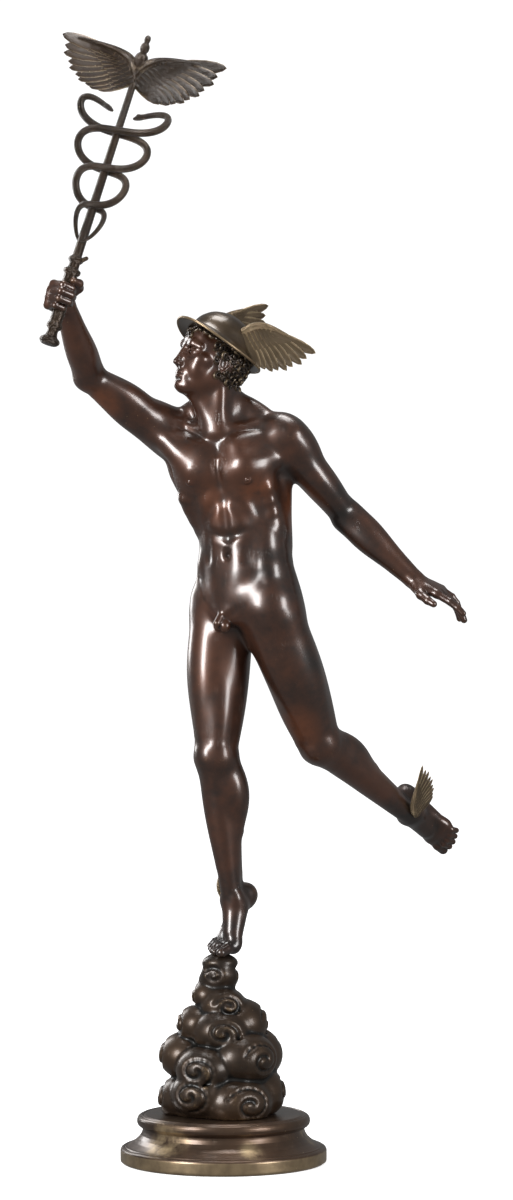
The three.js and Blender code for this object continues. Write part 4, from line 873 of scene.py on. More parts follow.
    def leg(self, side: int, front: Array) -> None:
        """Builds one leg.

        Args:
            side: -1 for the right leg and 1 for the left.
            front: the way its kneecap looks.
        """
        limb = self.bones.limb(side)
        outer = self.bones.pelvis_axes[0] * side
        thigh = Bone.between(limb.hip, limb.knee, front, outer)
        shin = Bone.between(limb.knee, limb.ankle, front, outer)
        self.muscles(thigh, THIGH, self.thigh_bulk)
        self.clay.lump(limb.hip + thigh.side * 2 + thigh.way * 0.6, (2.6, 3.2, 3.8), thigh.axes, 2.5)
        self.clay.lump(limb.knee + thigh.front * 0.1, (3.15, 3, 3.3), shin.axes, 1.4)
        cap = limb.knee + unit(thigh.front + shin.front) * 2.3 - shin.way * 0.3
        self.clay.lump(cap, (1.45, 1.05, 1.6), shin.axes, 0.8)
        for m in (-1, 1):
            self.clay.lump(shin.at(0, -0.1, m * 1.75), (1.4, 2, 1.9), shin.axes, 1)
        self.clay.rod(shin.at(0.05, 2.1), shin.at(0.15, 1.6), 0.85, 0.8, 0.9)
        self.muscles(shin, SHIN, self.shin_bulk)
        self.clay.lump(shin.at(0.99, -0.2, 1.35), (0.85, 0.95, 1.2), shin.axes, 0.7)
        self.clay.lump(shin.at(0.97, 0.2, -1.35), (0.85, 1.05, 1.2), shin.axes, 0.7)

    def feet(self) -> None:
        """Builds the standing foot, heel high and toes flat, and the trailing foot, hanging."""
        b = self.bones
        slope, up = math.radians(52), vec(0, 0, 1)
        way = b.toe * math.cos(slope) - up * math.sin(slope)
        sole = -b.toe * math.sin(slope) - up * math.cos(slope)
        self.foot(b.right.ankle, way, sole, unit(b.toe - up * 0.12), -1)
        shin = Bone.between(b.left.knee, b.left.ankle, b.trailing_front, b.pelvis_axes[0])
        way = unit(shin.way * 0.93 + shin.front * 0.38)
        sole = -unit(across(shin.front, way))
        self.foot(b.left.ankle, way, sole, unit(way + sole * 0.15), 1)

    def foot(self, ankle: Array, way: Array, sole: Array, toes: Array, side: int) -> None:
        """Builds one foot with its toes and nails.

        Args:
            ankle: the ankle joint.
            way: from heel to ball.
            sole: out of the sole.
            toes: the way the toes lie.
            side: -1 for the right foot and 1 for the left.
        """
        outer = unit(np.cross(sole, way))
        if float(outer @ self.bones.pelvis_axes[0]) * side < 0:
            outer = -outer
        axes = np.array([outer, way, sole])
        clay = self.clay

        def at(forward: float, down: float, out: float) -> Array:
            """A point of the foot from the ankle."""
            return ankle + way * forward + sole * down + outer * out

        clay.lump(at(-2.7, 2.3, 0), (1.75, 2.1, 1.9), axes, 1.2)
        clay.rod(at(-1.8, -1.2, 0), at(-3.2, 1.4, 0), 0.85, 1.1, 0.9)
        clay.rod(at(-0.2, 0.5, 0), at(4.2, 2.2, -0.6), 2, 1.35, 1.2)
        clay.rod(at(-1.4, 2.2, 0.6), at(5.2, 3.4, 1.7), 1.5, 0.95, 1.2)
        clay.rod(at(0.5, 1.2, -0.6), at(6, 3.1, -1.3), 1.6, 1.15, 1.2)
        clay.lump(at(6.1, 3.2, -1.5), (1.25, 1.5, 1.15), axes, 0.8)
        clay.lump(at(5.6, 3.5, 1.7), (1.1, 1.4, 0.9), axes, 0.8)
        clay.lump(at(5.9, 3.2, 0.1), (1.9, 1.5, 1.05), axes, 0.8)
        down = unit(across(sole, toes))
        roots = ((6.6, 3.3, -1.6), (6.7, 3.2, -0.35), (6.5, 3.3, 0.55), (6.1, 3.45, 1.35), (5.6, 3.6, 2.1))
        sizes = ((3.2, 0.95), (2.9, 0.66), (2.6, 0.62), (2.3, 0.58), (2, 0.56))
        for i, (root, (length, radius)) in enumerate(zip(roots, sizes)):
            start, fan = at(*root), unit(toes + outer * (-0.05 + 0.07 * i))
            knuckle = start + fan * length * 0.55 - down * (0.35 if i else 0.1)
            tip = start + fan * length + down * 0.25
            clay.rod(start, knuckle, radius, radius * 0.92, 0.45)
            clay.rod(knuckle, tip, radius * 0.92, radius * 0.85, 0.2)
            over = unit(np.cross(down, fan))
            nail = np.array([over, fan, down])
            radii = (radius * 0.6, radius * 0.75, radius * 0.22)
            clay.lump(tip - down * radius * 0.98 + fan * radius * 0.2, radii, nail, 0.08, out=True)

    def arm(self, side: int, bend: Array, outer: Array) -> None:
        """Builds one arm.

        Args:
            side: -1 for the right arm and 1 for the left.
            bend: the way its biceps looks.
            outer: the way of its outer side.
        """
        limb = self.bones.limb(side)
        upper = Bone.between(limb.shoulder, limb.elbow, bend, outer)
        fore = Bone.between(limb.elbow, limb.wrist, bend, outer)
        self.clay.lump(upper.at(0.1, 0, 0.7), (3.1, 3.4, 4.8), upper.axes, 1.8)
        self.muscles(upper, UPPER_ARM, self.upper_arm_bulk)
        self.clay.lump(limb.elbow, (2.15, 1.75, 2), fore.axes, 1)
        self.clay.lump(limb.elbow - unit(upper.front + fore.front) * 1.3, (0.95, 0.9, 1.1), fore.axes, 0.8)
        self.muscles(fore, FOREARM, self.forearm_bulk)

    def fingers(self, hand: Hand, curls: Sequence[Triple], spread: float, thumb: Sequence[Triple]) -> None:
        """Builds one hand.

        Args:
            hand: its frame.
            curls: how far each finger's three joints bend, in radians, from the first finger.
            spread: how far the fingers fan out.
            thumb: the thumb's base, two joints and tip, in the hand's frame.
        """
        clay, at = self.clay, hand.at
        clay.lump(at(0, 0, 0), (1.75, 1.2, 1.6), hand.axes, 0.8)
        clay.lump(at(2.6, 0, 0.1), (2.15, 0.85, 2.7), hand.axes, 0.8)
        clay.lump(at(1.8, 0.6, 1.3), (0.9, 0.8, 1.7), hand.axes, 0.6)
        clay.lump(at(2, 0.5, -1.5), (0.7, 0.75, 1.9), hand.axes, 0.6)
        for i, (bones, radius) in enumerate(zip(FINGER_BONES, FINGER_RADII)):
            over = 1.65 - 1.1 * i
            heading = unit(hand.way + hand.thumb * (spread * (1.5 - i) / 1.5))
            start, angle = at(4.6 - 0.18 * abs(i - 1), 0, over), 0.0
            clay.rod(at(1.2, -0.1, over * 0.55), start, 0.7, 0.72, 0.6)
            for j, length in enumerate(bones):
                angle += curls[i][j]
                way = heading * math.cos(angle) + hand.palm * math.sin(angle)
                end = start + way * length
                clay.rod(start, end, radius * (1 - 0.06 * j), radius * (0.93 - 0.06 * j), 0.15 if j else 0.4)
                start = end
            back = hand.palm * math.cos(angle) - heading * math.sin(angle)
            nail = np.array([unit(np.cross(back, way)), way, back])
            radii = (radius * 0.55, radius * 0.75, radius * 0.2)
            clay.lump(end - back * radius * 0.82 + way * 0.1, radii, nail, 0.08, out=True)
        base, first, second, tip = (at(*p) for p in thumb)
        clay.rod(base, first, 1, 0.78, 0.6)
        clay.rod(first, second, 0.76, 0.68, 0.3)
        clay.rod(second, tip, 0.68, 0.55, 0.2)

    def fine_boxes(self) -> list[Box]:
        """Finds where the skin is sampled finely.

        Returns:
            Boxes round the head, the face, the groin, the hands and the feet.
        """
        b = self.bones
        groin = b.torso(0, -5, -2.6)
        face = b.head_at(0, -4.2, -1.8)
        boxes = [
            (b.head - 7.2, b.head + 6.5, self.head_sample),
            (face - 3.8, face + 3.8, self.face_sample),
            (groin - 2.2, groin + 2.2, self.hand_sample),
        ]
        hands = (b.hand(-1).at(3, 1, 0), b.hand(1).at(5, 0, 0))
        for middle in (*hands, b.left.ankle + vec(3, 3, -4), vec(-1, -2, 3)):
            boxes.append((middle - 5, middle + 5, self.hand_sample))
        return boxes


@dataclass
class Shell:
    """Points and faces of a surface, before it becomes a Blender mesh."""

    points: Array
    quads: Array = field(default_factory=lambda: np.zeros((0, 4), int))
    tris: Array = field(default_factory=lambda: np.zeros((0, 3), int))

    def placed(self, axes: Array, place: Array) -> "Shell":
        """The shell with its X, Y and Z laid along the rows of axes, at a place."""
        return Shell(self.points @ axes + place, self.quads, self.tris)

    def object(self, name: str) -> Object:
        """Makes a smooth Blender object of the shell.

        Args:
            name: the object's name.

        Returns:
            The object, in the scene.
        """
        mesh = bpy.data.meshes.new(name)
        mesh.from_pydata(self.points.tolist(), [], self.quads.tolist() + self.tris.tolist())
        mesh.validate()
        mesh.shade_smooth()
        return in_scene(name, mesh)


def in_scene(name: str, data: bpy.types.ID) -> Object:
    """Links a new object into the scene.

    Args:
        name: the object's name.
        data: its mesh, lamp or camera.

    Returns:
        The object.
    """
    made = bpy.data.objects.new(name, data)
    bpy.context.scene.collection.objects.link(made)
    return made


def rounded(profile: Profile, radius: float, steps: int = 4) -> list[tuple[float, float]]:
    """A profile with its corners turned into small arcs.

    Args:
        profile: points from one end on the axis to the other.
        radius: how far from a corner its arc starts, at most.
        steps: how many stretches each arc has.

    Returns:
        The finer profile.
    """
    p = [np.array(q, float) for q in profile]
    out = [tuple(p[0])]
    for before, corner, after in zip(p, p[1:], p[2:]):
        back, ahead = before - corner, after - corner
        reach = min(radius, 0.45 * np.linalg.norm(back), 0.45 * np.linalg.norm(ahead))
        a, b = corner + unit(back) * reach, corner + unit(ahead) * reach
        for i in range(steps + 1):
            t = i / steps
            out.append(tuple(a * (1 - t) ** 2 + corner * 2 * t * (1 - t) + b * t * t))
    out.append(tuple(p[-1]))
    return out


def evened(profile: Profile, step: float) -> list[tuple[float, float]]:
    """A profile with points added so that none of its stretches is longer than a step.

    Args:
        profile: the points.
        step: the longest stretch.

    Returns:
        The same outline with more points.
    """
    out = [profile[0]]
    for (r0, z0), (r1, z1) in zip(profile, profile[1:]):
        count = math.ceil(math.hypot(r1 - r0, z1 - z0) / step)
        out += [(r0 + (r1 - r0) * i / count, z0 + (z1 - z0) * i / count) for i in range(1, count + 1)]
    return out


def lathed(profile: Profile, segments: int) -> Shell:
    """A turned shell about Z.

    Args:
        profile: radius and height from bottom to top, with both ends on the axis.
        segments: how many steps round it.

    Returns:
        The closed shell, facing out.
    """
    angle = np.arange(segments) * 2 * math.pi / segments
    flat = np.full(segments, 1.0)
    rings = [np.stack([r * np.cos(angle), r * np.sin(angle), z * flat], 1) for r, z in profile[1:-1]]
    points = np.concatenate(rings + [vec(0, 0, profile[end][1])[None] for end in (0, -1)])
    here = np.arange(segments)
    ahead = (here + 1) % segments
    rows = [i * segments for i in range(len(rings))]
    walls = [np.stack([a + here, a + ahead, b + ahead, b + here], 1) for a, b in zip(rows, rows[1:])]
    foot, top = (np.full(segments, len(rings) * segments + i) for i in (0, 1))
    last = rows[-1]
    caps = [np.stack([ahead, here, foot], 1), np.stack([last + here, last + ahead, top], 1)]
    return Shell(points, np.concatenate(walls), np.concatenate(caps))


def thinned(piece: Object, limit: int) -> None:
    """Collapses a piece's flattest edges until it has at most about limit triangles.

    Args:
        piece: the object, changed in place.
        limit: the number of triangles.
    """
    count = sum(len(p.vertices) - 2 for p in piece.data.polygons)
    if count <= limit:
        return
    modifier = piece.modifiers.new("thin", "DECIMATE")
    modifier.ratio = limit / count
    swap_for_evaluated(piece)


def swap_for_evaluated(piece: Object) -> None:
    """Gives a piece the plain mesh that its modifiers make, and removes them.

    Args:
        piece: the object, changed in place.
    """
    evaluated = piece.evaluated_get(bpy.context.evaluated_depsgraph_get())
    mesh = bpy.data.meshes.new_from_object(evaluated)
    piece.modifiers.clear()
    old, piece.data = piece.data, mesh
    bpy.data.meshes.remove(old)
    mesh.name = piece.name
    mesh.shade_smooth()


def mark_relief(piece: Object, height: float, rounds: int = 14) -> None:
    """Writes how far each point stands out of its surroundings, for wear and dirt to follow.

    Args:
        piece: the object, which gets the attribute.
        height: how far out, in metres, counts as fully out.
        rounds: how many times the surroundings are smoothed.
    """
    mesh = piece.data
    count = len(mesh.vertices)
    flat = np.empty(count * 3, np.float32)
    mesh.vertices.foreach_get("co", flat)
    points = flat.reshape(-1, 3).astype(float)
    mesh.vertex_normals.foreach_get("vector", flat)
    normals = flat.reshape(-1, 3).astype(float)
    ends = np.empty(len(mesh.edges) * 2, np.int32)
    mesh.edges.foreach_get("vertices", ends)
    a, b = ends[::2], ends[1::2]
    degree = np.maximum(np.bincount(ends, minlength=count), 1)
    smooth = points.copy()
    for _ in range(rounds):
        sums = [np.bincount(a, smooth[b, i], count) + np.bincount(b, smooth[a, i], count) for i in range(3)]
        near = np.stack(sums, 1)
        smooth = 0.4 * smooth + 0.6 * near / degree[:, None]
    out = ((points - smooth) * normals).sum(1)
    out -= np.median(out)
    layer = mesh.attributes.new(RELIEF, "FLOAT", "POINT")
    layer.data.foreach_set("value", np.clip(0.5 + 0.5 * out / height, 0, 1).astype(np.float32))


class Recipe:
    """A geometry node tree with named inputs, run on an object to make a plain mesh."""

    def __init__(self, name: str, **inputs: str) -> None:
        """Makes the tree with its sockets.

        Args:
            name: the tree's name.
            **inputs: the socket type of each input after the geometry.
        """
        self.tree = bpy.data.node_groups.new(name, "GeometryNodeTree")
        face = self.tree.interface
        face.new_socket("Geometry", in_out="INPUT", socket_type="NodeSocketGeometry")
        self.keys = {
            label: face.new_socket(label, in_out="INPUT", socket_type="NodeSocket" + kind).identifier
            for label, kind in inputs.items()
        }
        face.new_socket("Geometry", in_out="OUTPUT", socket_type="NodeSocketGeometry")
        self.wiring = Wiring(self.tree)
        self.given = self.wiring.node("NodeGroupInput").outputs

    def finish(self, geometry: Socket) -> None:
        """Ends the tree: all made real, smooth and in its finish.

        Args:
            geometry: what the tree has made.
        """
        w = self.wiring
        real = w.first("GeometryNodeRealizeInstances", {0: geometry})
        smooth = w.first("GeometryNodeSetShadeSmooth", {0: real})
        dressed = w.first("GeometryNodeSetMaterial", {0: smooth, "Material": self.given["Finish"]})
        w.node("NodeGroupOutput", {0: dressed})

    def run(self, piece: Object, values: dict[str, object]) -> Object:
        """Runs the tree on an object, whose mesh becomes the result.

        Args:
            piece: the object.
            values: a value for each named input.

        Returns:
            The same object, plain again.
        """
        modifier = piece.modifiers.new(self.tree.name, "NODES")
        modifier.node_group = self.tree
        for label, value in values.items():
            modifier[self.keys[label]] = value
        swap_for_evaluated(piece)
        return piece


def tube_recipe() -> Recipe:
    """A tree that sweeps a round along a line of edges, as thick as the line's girth.

    Returns:
        The recipe, with the number of sides, the flatness and the finish as inputs.
    """
    recipe = Recipe("tube", Sides="Int", Flatness="Float", Finish="Material")
    w, given = recipe.wiring, recipe.given
    girth = w.first("GeometryNodeInputNamedAttribute", {"Name": GIRTH}, data_type="FLOAT")
    line = w.first("GeometryNodeMeshToCurve", {0: given["Geometry"]})
    circle = w.first("GeometryNodeCurvePrimitiveCircle", {"Resolution": given["Sides"], "Radius": 1.0})
    size = w.first("ShaderNodeCombineXYZ", {0: 1.0, 1: given["Flatness"], 2: 1.0})
    circle = w.first("GeometryNodeTransform", {0: circle, "Scale": size})
    inputs = {"Curve": line, "Profile Curve": circle, "Scale": girth, "Fill Caps": True}
    recipe.finish(w.first("GeometryNodeCurveToMesh", inputs))
    return recipe


def scatter_recipe() -> Recipe:
    """A tree that puts a shape on every point, turned and sized as the point says.

    Returns:
        The recipe, with the shape, a size for all and the finish as inputs.
    """
    recipe = Recipe("scatter", Shape="Object", Size="Float", Finish="Material")
    w, given = recipe.wiring, recipe.given
    turn = w.first("GeometryNodeInputNamedAttribute", {"Name": TURN}, data_type="FLOAT_VECTOR")
    grow = w.first("GeometryNodeInputNamedAttribute", {"Name": GROW}, data_type="FLOAT_VECTOR")
    size = w.first("ShaderNodeVectorMath", {0: grow, "Scale": given["Size"]}, operation="SCALE")
    shape = w.node("GeometryNodeObjectInfo", {"Object": given["Shape"]}).outputs["Geometry"]
    inputs = {"Points": given["Geometry"], "Instance": shape, "Rotation": turn, "Scale": size}
    recipe.finish(w.first("GeometryNodeInstanceOnPoints", inputs))
    return recipe


@dataclass
class Workshop:
    """The finishes and recipes that all the pieces share."""

    finishes: dict[Look, bpy.types.Material]
    tube: Recipe
    scatter: Recipe

    @classmethod
    def opened(cls) -> "Workshop":
        """A workshop with every finish and recipe made."""
        return cls({f.look: f.material() for f in FINISHES}, tube_recipe(), scatter_recipe())

    def sweep(
        self, name: str, path: Array, girths: Array, look: Look,
        sides: int = 10, flat: float = 1.0, closed: bool = False,
    ) -> Object:
        """Sweeps a round along a path.

        Args:
            name: the object's name.
            path: the points of the path, one a row.
            girths: the radius at each point.
            look: the finish.
            sides: how many sides the round has.
            flat: how thick the round is across, as a share of its width.
            closed: whether the path runs back to its start.

        Returns:
            The swept object.
        """
        mesh = bpy.data.meshes.new(name)
        edges = [(i, i + 1) for i in range(len(path) - 1)] + ([(len(path) - 1, 0)] if closed else [])
        mesh.from_pydata(path.tolist(), edges, [])
        mesh.attributes.new(GIRTH, "FLOAT", "POINT").data.foreach_set("value", np.array(girths, np.float32))
        values = {"Sides": sides, "Flatness": flat, "Finish": self.finishes[look]}
        return self.tube.run(in_scene(name, mesh), values)

    def strew(
        self, name: str, shape: Object, places: Sequence[Array], turns: Sequence[Triple],
        sizes: Sequence[Array | Triple], look: Look,
    ) -> Object:
        """Puts a shape on points.

        Args:
            name: the object's name.
            shape: the object that is repeated.
            places: where each one goes.
            turns: the Euler angles of each.
            sizes: the scale of each along its own axes.
            look: the finish.

        Returns:
            One object of them all.
        """
        mesh = bpy.data.meshes.new(name)
        mesh.from_pydata(np.array(places).tolist(), [], [])
        for label, rows in ((TURN, turns), (GROW, sizes)):
            layer = mesh.attributes.new(label, "FLOAT_VECTOR", "POINT")
            layer.data.foreach_set("vector", np.array(rows, np.float32).ravel())
        values = {"Shape": shape, "Size": 1.0, "Finish": self.finishes[look]}
        return self.scatter.run(in_scene(name, mesh), values)

    def hand_over(self, piece: Object, node: str, look: Look) -> None:
        """Dresses a finished piece and gives it to the frame in place of a node.

        Args:
            piece: the finished piece.
            node: the node of the frame that it stands for.
            look: its finish.
        """
        piece.data.materials.clear()
        piece.data.materials.append(self.finishes[look])
        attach(piece, ROOT)
        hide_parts(node)
        log.info("%s: %d faces for %s", piece.name, len(piece.data.polygons), node)


def joined_piece(name: str, pieces: Sequence[Object]) -> Object:
    """Joins objects into one.

    Args:
        name: the name of the one.
        pieces: the objects, which are used up.

    Returns:
        The joined object.
    """
    first = pieces[0]
    chosen = {"active_object": first, "object": first, "selected_objects": list(pieces)}
    with bpy.context.temp_override(**chosen, selected_editable_objects=list(pieces)):
        bpy.ops.object.join()
    first.name = name
    first.data.name = name
    return first


def reshaped(piece: Object, move: Callable[[Array], Array]) -> Object:
    """Moves every point of a piece by a rule.

    Args:
        piece: the object, changed in place.
        move: takes all the points, one a row, and gives their new places.

    Returns:
        The same object.
    """
    flat = np.empty(len(piece.data.vertices) * 3, np.float32)
    piece.data.vertices.foreach_get("co", flat)
    piece.data.vertices.foreach_set("co", move(flat.reshape(-1, 3).astype(float)).astype(np.float32).ravel())
    piece.data.update()
    return piece


class Wiring:
    """Adds nodes to a tree and links them in one go."""

    def __init__(self, tree: bpy.types.NodeTree) -> None:
        """Keeps the tree that the nodes go into."""
        self.tree = tree

    def node(
        self, kind: str, inputs: dict[str | int, object] | None = None, **settings: object
    ) -> bpy.types.Node:
        """Adds a node.

        Args:
            kind: the node's type name.
            inputs: for each input socket, a socket to link to it or a value to set it to.
            **settings: properties of the node itself.

        Returns:
            The node.
        """
        node = self.tree.nodes.new(kind)
        for key, value in settings.items():
            setattr(node, key, value)
        self.feed(node, inputs or {})
        return node

    def feed(self, node: bpy.types.Node, inputs: dict[str | int, object]) -> None:
        """Fills a node's inputs.

        Args:
            node: the node.
            inputs: for each input socket, a socket to link to it or a value to set it to.
        """
        for key, value in inputs.items():
            if isinstance(value, Socket):
                self.tree.links.new(value, node.inputs[key])
            else:
                node.inputs[key].default_value = value

    def first(self, kind: str, inputs: dict[str | int, object] | None = None, **settings: object) -> Socket:
        """Adds a node and gives its first output."""
        return self.node(kind, inputs, **settings).outputs[0]

    def maths(self, operation: str, a: object, b: object = 0.0, clamp: bool = False) -> Socket:
        """The result of a sum on two numbers or sockets."""
        return self.first("ShaderNodeMath", {0: a, 1: b}, operation=operation, use_clamp=clamp)

    def plus(self, a: object, b: object, clamp: bool = False) -> Socket:
        """The sum of two numbers or sockets."""
        return self.maths("ADD", a, b, clamp)

    def minus(self, a: object, b: object) -> Socket:
        """The first number or socket less the second."""
        return self.maths("SUBTRACT", a, b)

    def times(self, a: object, b: object, clamp: bool = False) -> Socket:
        """The product of two numbers or sockets."""
        return self.maths("MULTIPLY", a, b, clamp)

    def most(self, a: object, b: object) -> Socket:
        """The larger of two numbers or sockets."""
        return self.maths("MAXIMUM", a, b)

    def remap(
        self, value: object, low: float, high: float, to_low: float = 0.0, to_high: float = 1.0
    ) -> Socket:
        """A smooth step of a value from one range to another."""
        inputs = {"Value": value, "From Min": low, "From Max": high, "To Min": to_low, "To Max": to_high}
        return self.first("ShaderNodeMapRange", inputs, interpolation_type="SMOOTHSTEP")

    def blend(self, share: object, first: object, second: object) -> Socket:
        """A mix of two colours."""
        inputs = {"Factor": share, 6: first, 7: second}
        return self.node("ShaderNodeMix", inputs, data_type="RGBA").outputs[2]

    def noise(self, where: object, scale: float, detail: float = 4.0, rough: float = 0.55) -> Socket:
        """A cloudy pattern, its scale in features a metre."""
        inputs = {"Vector": where, "Scale": scale, "Detail": detail, "Roughness": rough}
        return self.node("ShaderNodeTexNoise", inputs).outputs["Fac"]

    def stretched(self, where: object, turn: Triple, scale: Triple) -> Socket:
        """Coordinates turned and stretched, for marks that run one way."""
        inputs = {"Vector": where, "Rotation": turn, "Scale": scale}
        return self.first("ShaderNodeMapping", inputs)


class Look(Enum):
    """The finishes, each with its own name and the name of its material slot."""

    BODY = ("bronze_skin", "patinated_bronze")
    HAIR = ("bronze_hair", "patinated_bronze")
    HAT = ("bronze_hat", "patinated_bronze")
    WING = ("bronze_wing", "wing_bronze")
    STAFF = ("bronze_staff", "staff_bronze")
    CLOUD = ("bronze_cloud", "cloud_bronze")
    BASE = ("bronze_base", "base_bronze")


def paint(red: float, green: float, blue: float) -> Colour:
    """An opaque colour."""
    return (red, green, blue, 1.0)


@dataclass(frozen=True)
class Marks:
    """The marks that wear, casting and tools leave, drawn on a material's Object coordinates."""

    w: Wiring
    where: Socket

    SCRATCHES = (((0.3, 0.9, 0.2), 900.0), ((1.2, -0.4, 0.9), 760.0), ((-0.7, 0.2, 2.0), 1050.0))

    def near(self, spots: tuple[Spot, ...]) -> object:
        """Fades out round some places.

        Args:
            spots: the places.

        Returns:
            One at a place, falling to zero at its reach, or just zero without places.
        """
        w, total = self.w, 0.0
        for x, y, z, reach in spots:
            away = w.node("ShaderNodeVectorMath", {0: self.where, 1: (x, y, z)}, operation="DISTANCE")
            total = w.most(total, w.remap(away.outputs["Value"], reach, reach * 0.15))
        return total

    def scratches(self) -> Socket:
        """Draws hairline scratches in three directions, in scattered patches.

        Returns:
            One on a scratch and zero beside it.
        """
        w, total = self.w, 0.0
        for turn, width in self.SCRATCHES:
            lines = w.noise(w.stretched(self.where, turn, (width, 55.0, 55.0)), 1.0, 1.0, 0.5)
            line = w.remap(w.maths("ABSOLUTE", w.minus(lines, 0.5)), 0.008, 0.0)
            patch = w.remap(w.noise(w.stretched(self.where, turn, (60.0, 30.0, 30.0)), 1.0, 1.0), 0.62, 0.7)
            total = w.most(total, w.times(line, patch))
        return total

    def pits(self) -> Socket:
        """Draws sparse pinholes left by the casting.

        Returns:
            One in a pinhole and zero beside it.
        """
        w = self.w
        cells = w.node("ShaderNodeTexVoronoi", {"Vector": self.where, "Scale": 150.0})
        rare = w.node("ShaderNodeSeparateColor", {0: cells.outputs["Color"]}).outputs[0]
        dot = w.remap(cells.outputs["Distance"], 0.07, 0.03)
        return w.times(dot, w.maths("GREATER_THAN", rare, 0.9))

    def flecks(self) -> Socket:
        """Draws tiny chips in the lacquer, in drifts.

        Returns:
            Up to half on a chip and zero beside it.
        """
        w = self.w
        cells = w.node("ShaderNodeTexVoronoi", {"Vector": self.where, "Scale": 420.0})
        chance = w.node("ShaderNodeSeparateColor", {0: cells.outputs["Color"]}).outputs[1]
        drift = w.remap(w.noise(self.where, 22.0, 2.0), 0.5, 0.66, 0.0, 0.1)
        dot = w.remap(cells.outputs["Distance"], 0.22, 0.12, 0.0, 0.55)
        return w.times(dot, w.maths("GREATER_THAN", drift, chance))

    def barbs(self) -> Socket:
        """Draws the chaser's barbs, which slant back from the quill of each feather.

        Returns:
            A wave along the feather.
        """
        w = self.w
        parts = w.node("ShaderNodeSeparateXYZ", {0: w.first("ShaderNodeUVMap", uv_map=QUILL)}).outputs
        aside = w.maths("ABSOLUTE", w.minus(parts[1], 0.5))
        return w.maths("SINE", w.minus(w.times(parts[0], 110.0), w.times(aside, 60.0)))

    def rings(self) -> Socket:
        """Draws the turner's rings about Z.

        Returns:
            A fine grain that runs round.
        """
        w = self.w
        height = w.node("ShaderNodeSeparateXYZ", {0: self.where}).outputs[2]
        flat = w.stretched(self.where, (0.0, 0.0, 0.0), (1.0, 1.0, 0.0))
        radius = w.node("ShaderNodeVectorMath", {0: flat}, operation="LENGTH").outputs["Value"]
        line = w.first("ShaderNodeCombineXYZ", {0: w.times(w.plus(radius, height), 2600.0)})
        return w.noise(line, 1.0, 2.0)


@dataclass(frozen=True)
class BronzeFinish:
    """Patinated and lacquered bronze: dark in the hollows, warm where thin, bright where rubbed."""

    look: Look
    hollow: Colour
    skin: Colour
    thin: Colour
    worn: Colour
    thinness: float = 0.5
    wear: float = 0.5
    metal: float = 0.75
    gloss: float = 0.3
    coat: float = 0.5
    coat_gloss: float = 0.18
    grain: float = 0.12
    scratches: float = 0.5
    barbs: float = 0.0
    rings: float = 0.0
    dirt: float = 1.0
    depth: float = 1.5
    # spots where a warm colour is painted as light falling on the figure
    warm: tuple[Spot, ...] = ()
    bare: tuple[Spot, ...] = ()
    bare_below: float = 0.0

    # the patterns' features a metre, and half the soft edge of the bare band
    CLOUDS, MOTTLE, SPECKLE = 10.0, 95.0, 620.0
    BAND_EDGE = 0.0006

    def material(self) -> bpy.types.Material:
        """Builds the finish.

        Returns:
            The material, with all its patterns on Object coordinates or the piece's own attributes.
        """
        material = bpy.data.materials.new(self.look.value[0])
        material.use_nodes = True
        w = Wiring(material.node_tree)
        shader = material.node_tree.nodes["Principled BSDF"]
        where = w.node("ShaderNodeTexCoord").outputs["Object"]
        relief = w.node("ShaderNodeAttribute", attribute_name=RELIEF).outputs["Fac"]
        marks = Marks(w, where)
        clouds = w.noise(where, self.CLOUDS, 3.0)
        mottle = w.noise(where, self.MOTTLE, 5.0, 0.6)
        speckle = w.noise(where, self.SPECKLE, 3.0, 0.65)

        thin = w.remap(w.plus(w.times(clouds, 0.7), w.times(mottle, 0.3)), 0.32, 0.66)
        # painted light: the warm colour is laid most strongly in patches where light falls on the figure
        painted_light_tint = w.times(marks.near(self.warm), w.remap(mottle, 0.25, 0.6, 0.6, 1.0))
        thin = w.most(w.times(thin, self.thinness), painted_light_tint)
        colour = w.blend(thin, self.skin, self.thin)
        rubbing = w.times(marks.near(self.bare), w.remap(mottle, 0.3, 0.7))
        if self.bare_below:
            height = w.node("ShaderNodeSeparateXYZ", {0: where}).outputs[2]
            band = w.remap(height, self.bare_below + self.BAND_EDGE, self.bare_below - self.BAND_EDGE)
            rubbing = w.most(rubbing, w.times(band, w.remap(mottle, 0.2, 0.8, 0.25, 0.55)))
        colour = w.blend(rubbing, colour, self.worn)
        sunk = w.plus(relief, w.times(mottle, 0.16))
        colour = w.blend(w.remap(sunk, 0.5, 0.24, 0.0, self.dirt), colour, self.hollow)
        rubbed = w.plus(relief, w.times(w.minus(speckle, 0.5), 0.5))
        rubbed = w.plus(rubbed, w.times(w.minus(mottle, 0.5), 0.4))
        edge = w.times(w.remap(rubbed, 0.66, 0.95), self.wear, clamp=True)
        colour = w.blend(edge, colour, self.worn)
        scratch = marks.scratches()
        colour = w.blend(w.times(scratch, 0.2 * self.scratches), colour, self.worn)
        pits = marks.pits()
        colour = w.blend(pits, colour, self.hollow)
        colour = w.blend(marks.flecks(), colour, self.worn)

        rough = w.plus(self.gloss - 0.06, w.times(mottle, 0.12))
        rough = w.plus(rough, w.times(scratch, 0.12))
        rough = w.plus(rough, w.remap(sunk, 0.5, 0.2, 0.0, 0.22), clamp=True)
        height = w.plus(w.times(speckle, self.grain), w.times(mottle, 1.6 * self.grain))
        height = w.minus(height, w.times(scratch, 0.25 * self.scratches))
        height = w.minus(height, w.times(pits, 0.5))
        if self.barbs:
            height = w.plus(height, w.times(marks.barbs(), self.barbs))
        if self.rings:
            height = w.plus(height, w.times(marks.rings(), self.rings))
        bump = w.first("ShaderNodeBump", {"Strength": 0.6, "Distance": 0.0004, "Height": height})
        look = {"Base Color": colour, "Roughness": rough, "Normal": bump, "Coat Normal": bump}
        lacquer = {"Coat Weight": self.coat, "Coat Roughness": self.coat_gloss, "Coat IOR": self.depth}
        w.feed(shader, look | lacquer | {"Metallic": self.metal})
        return material
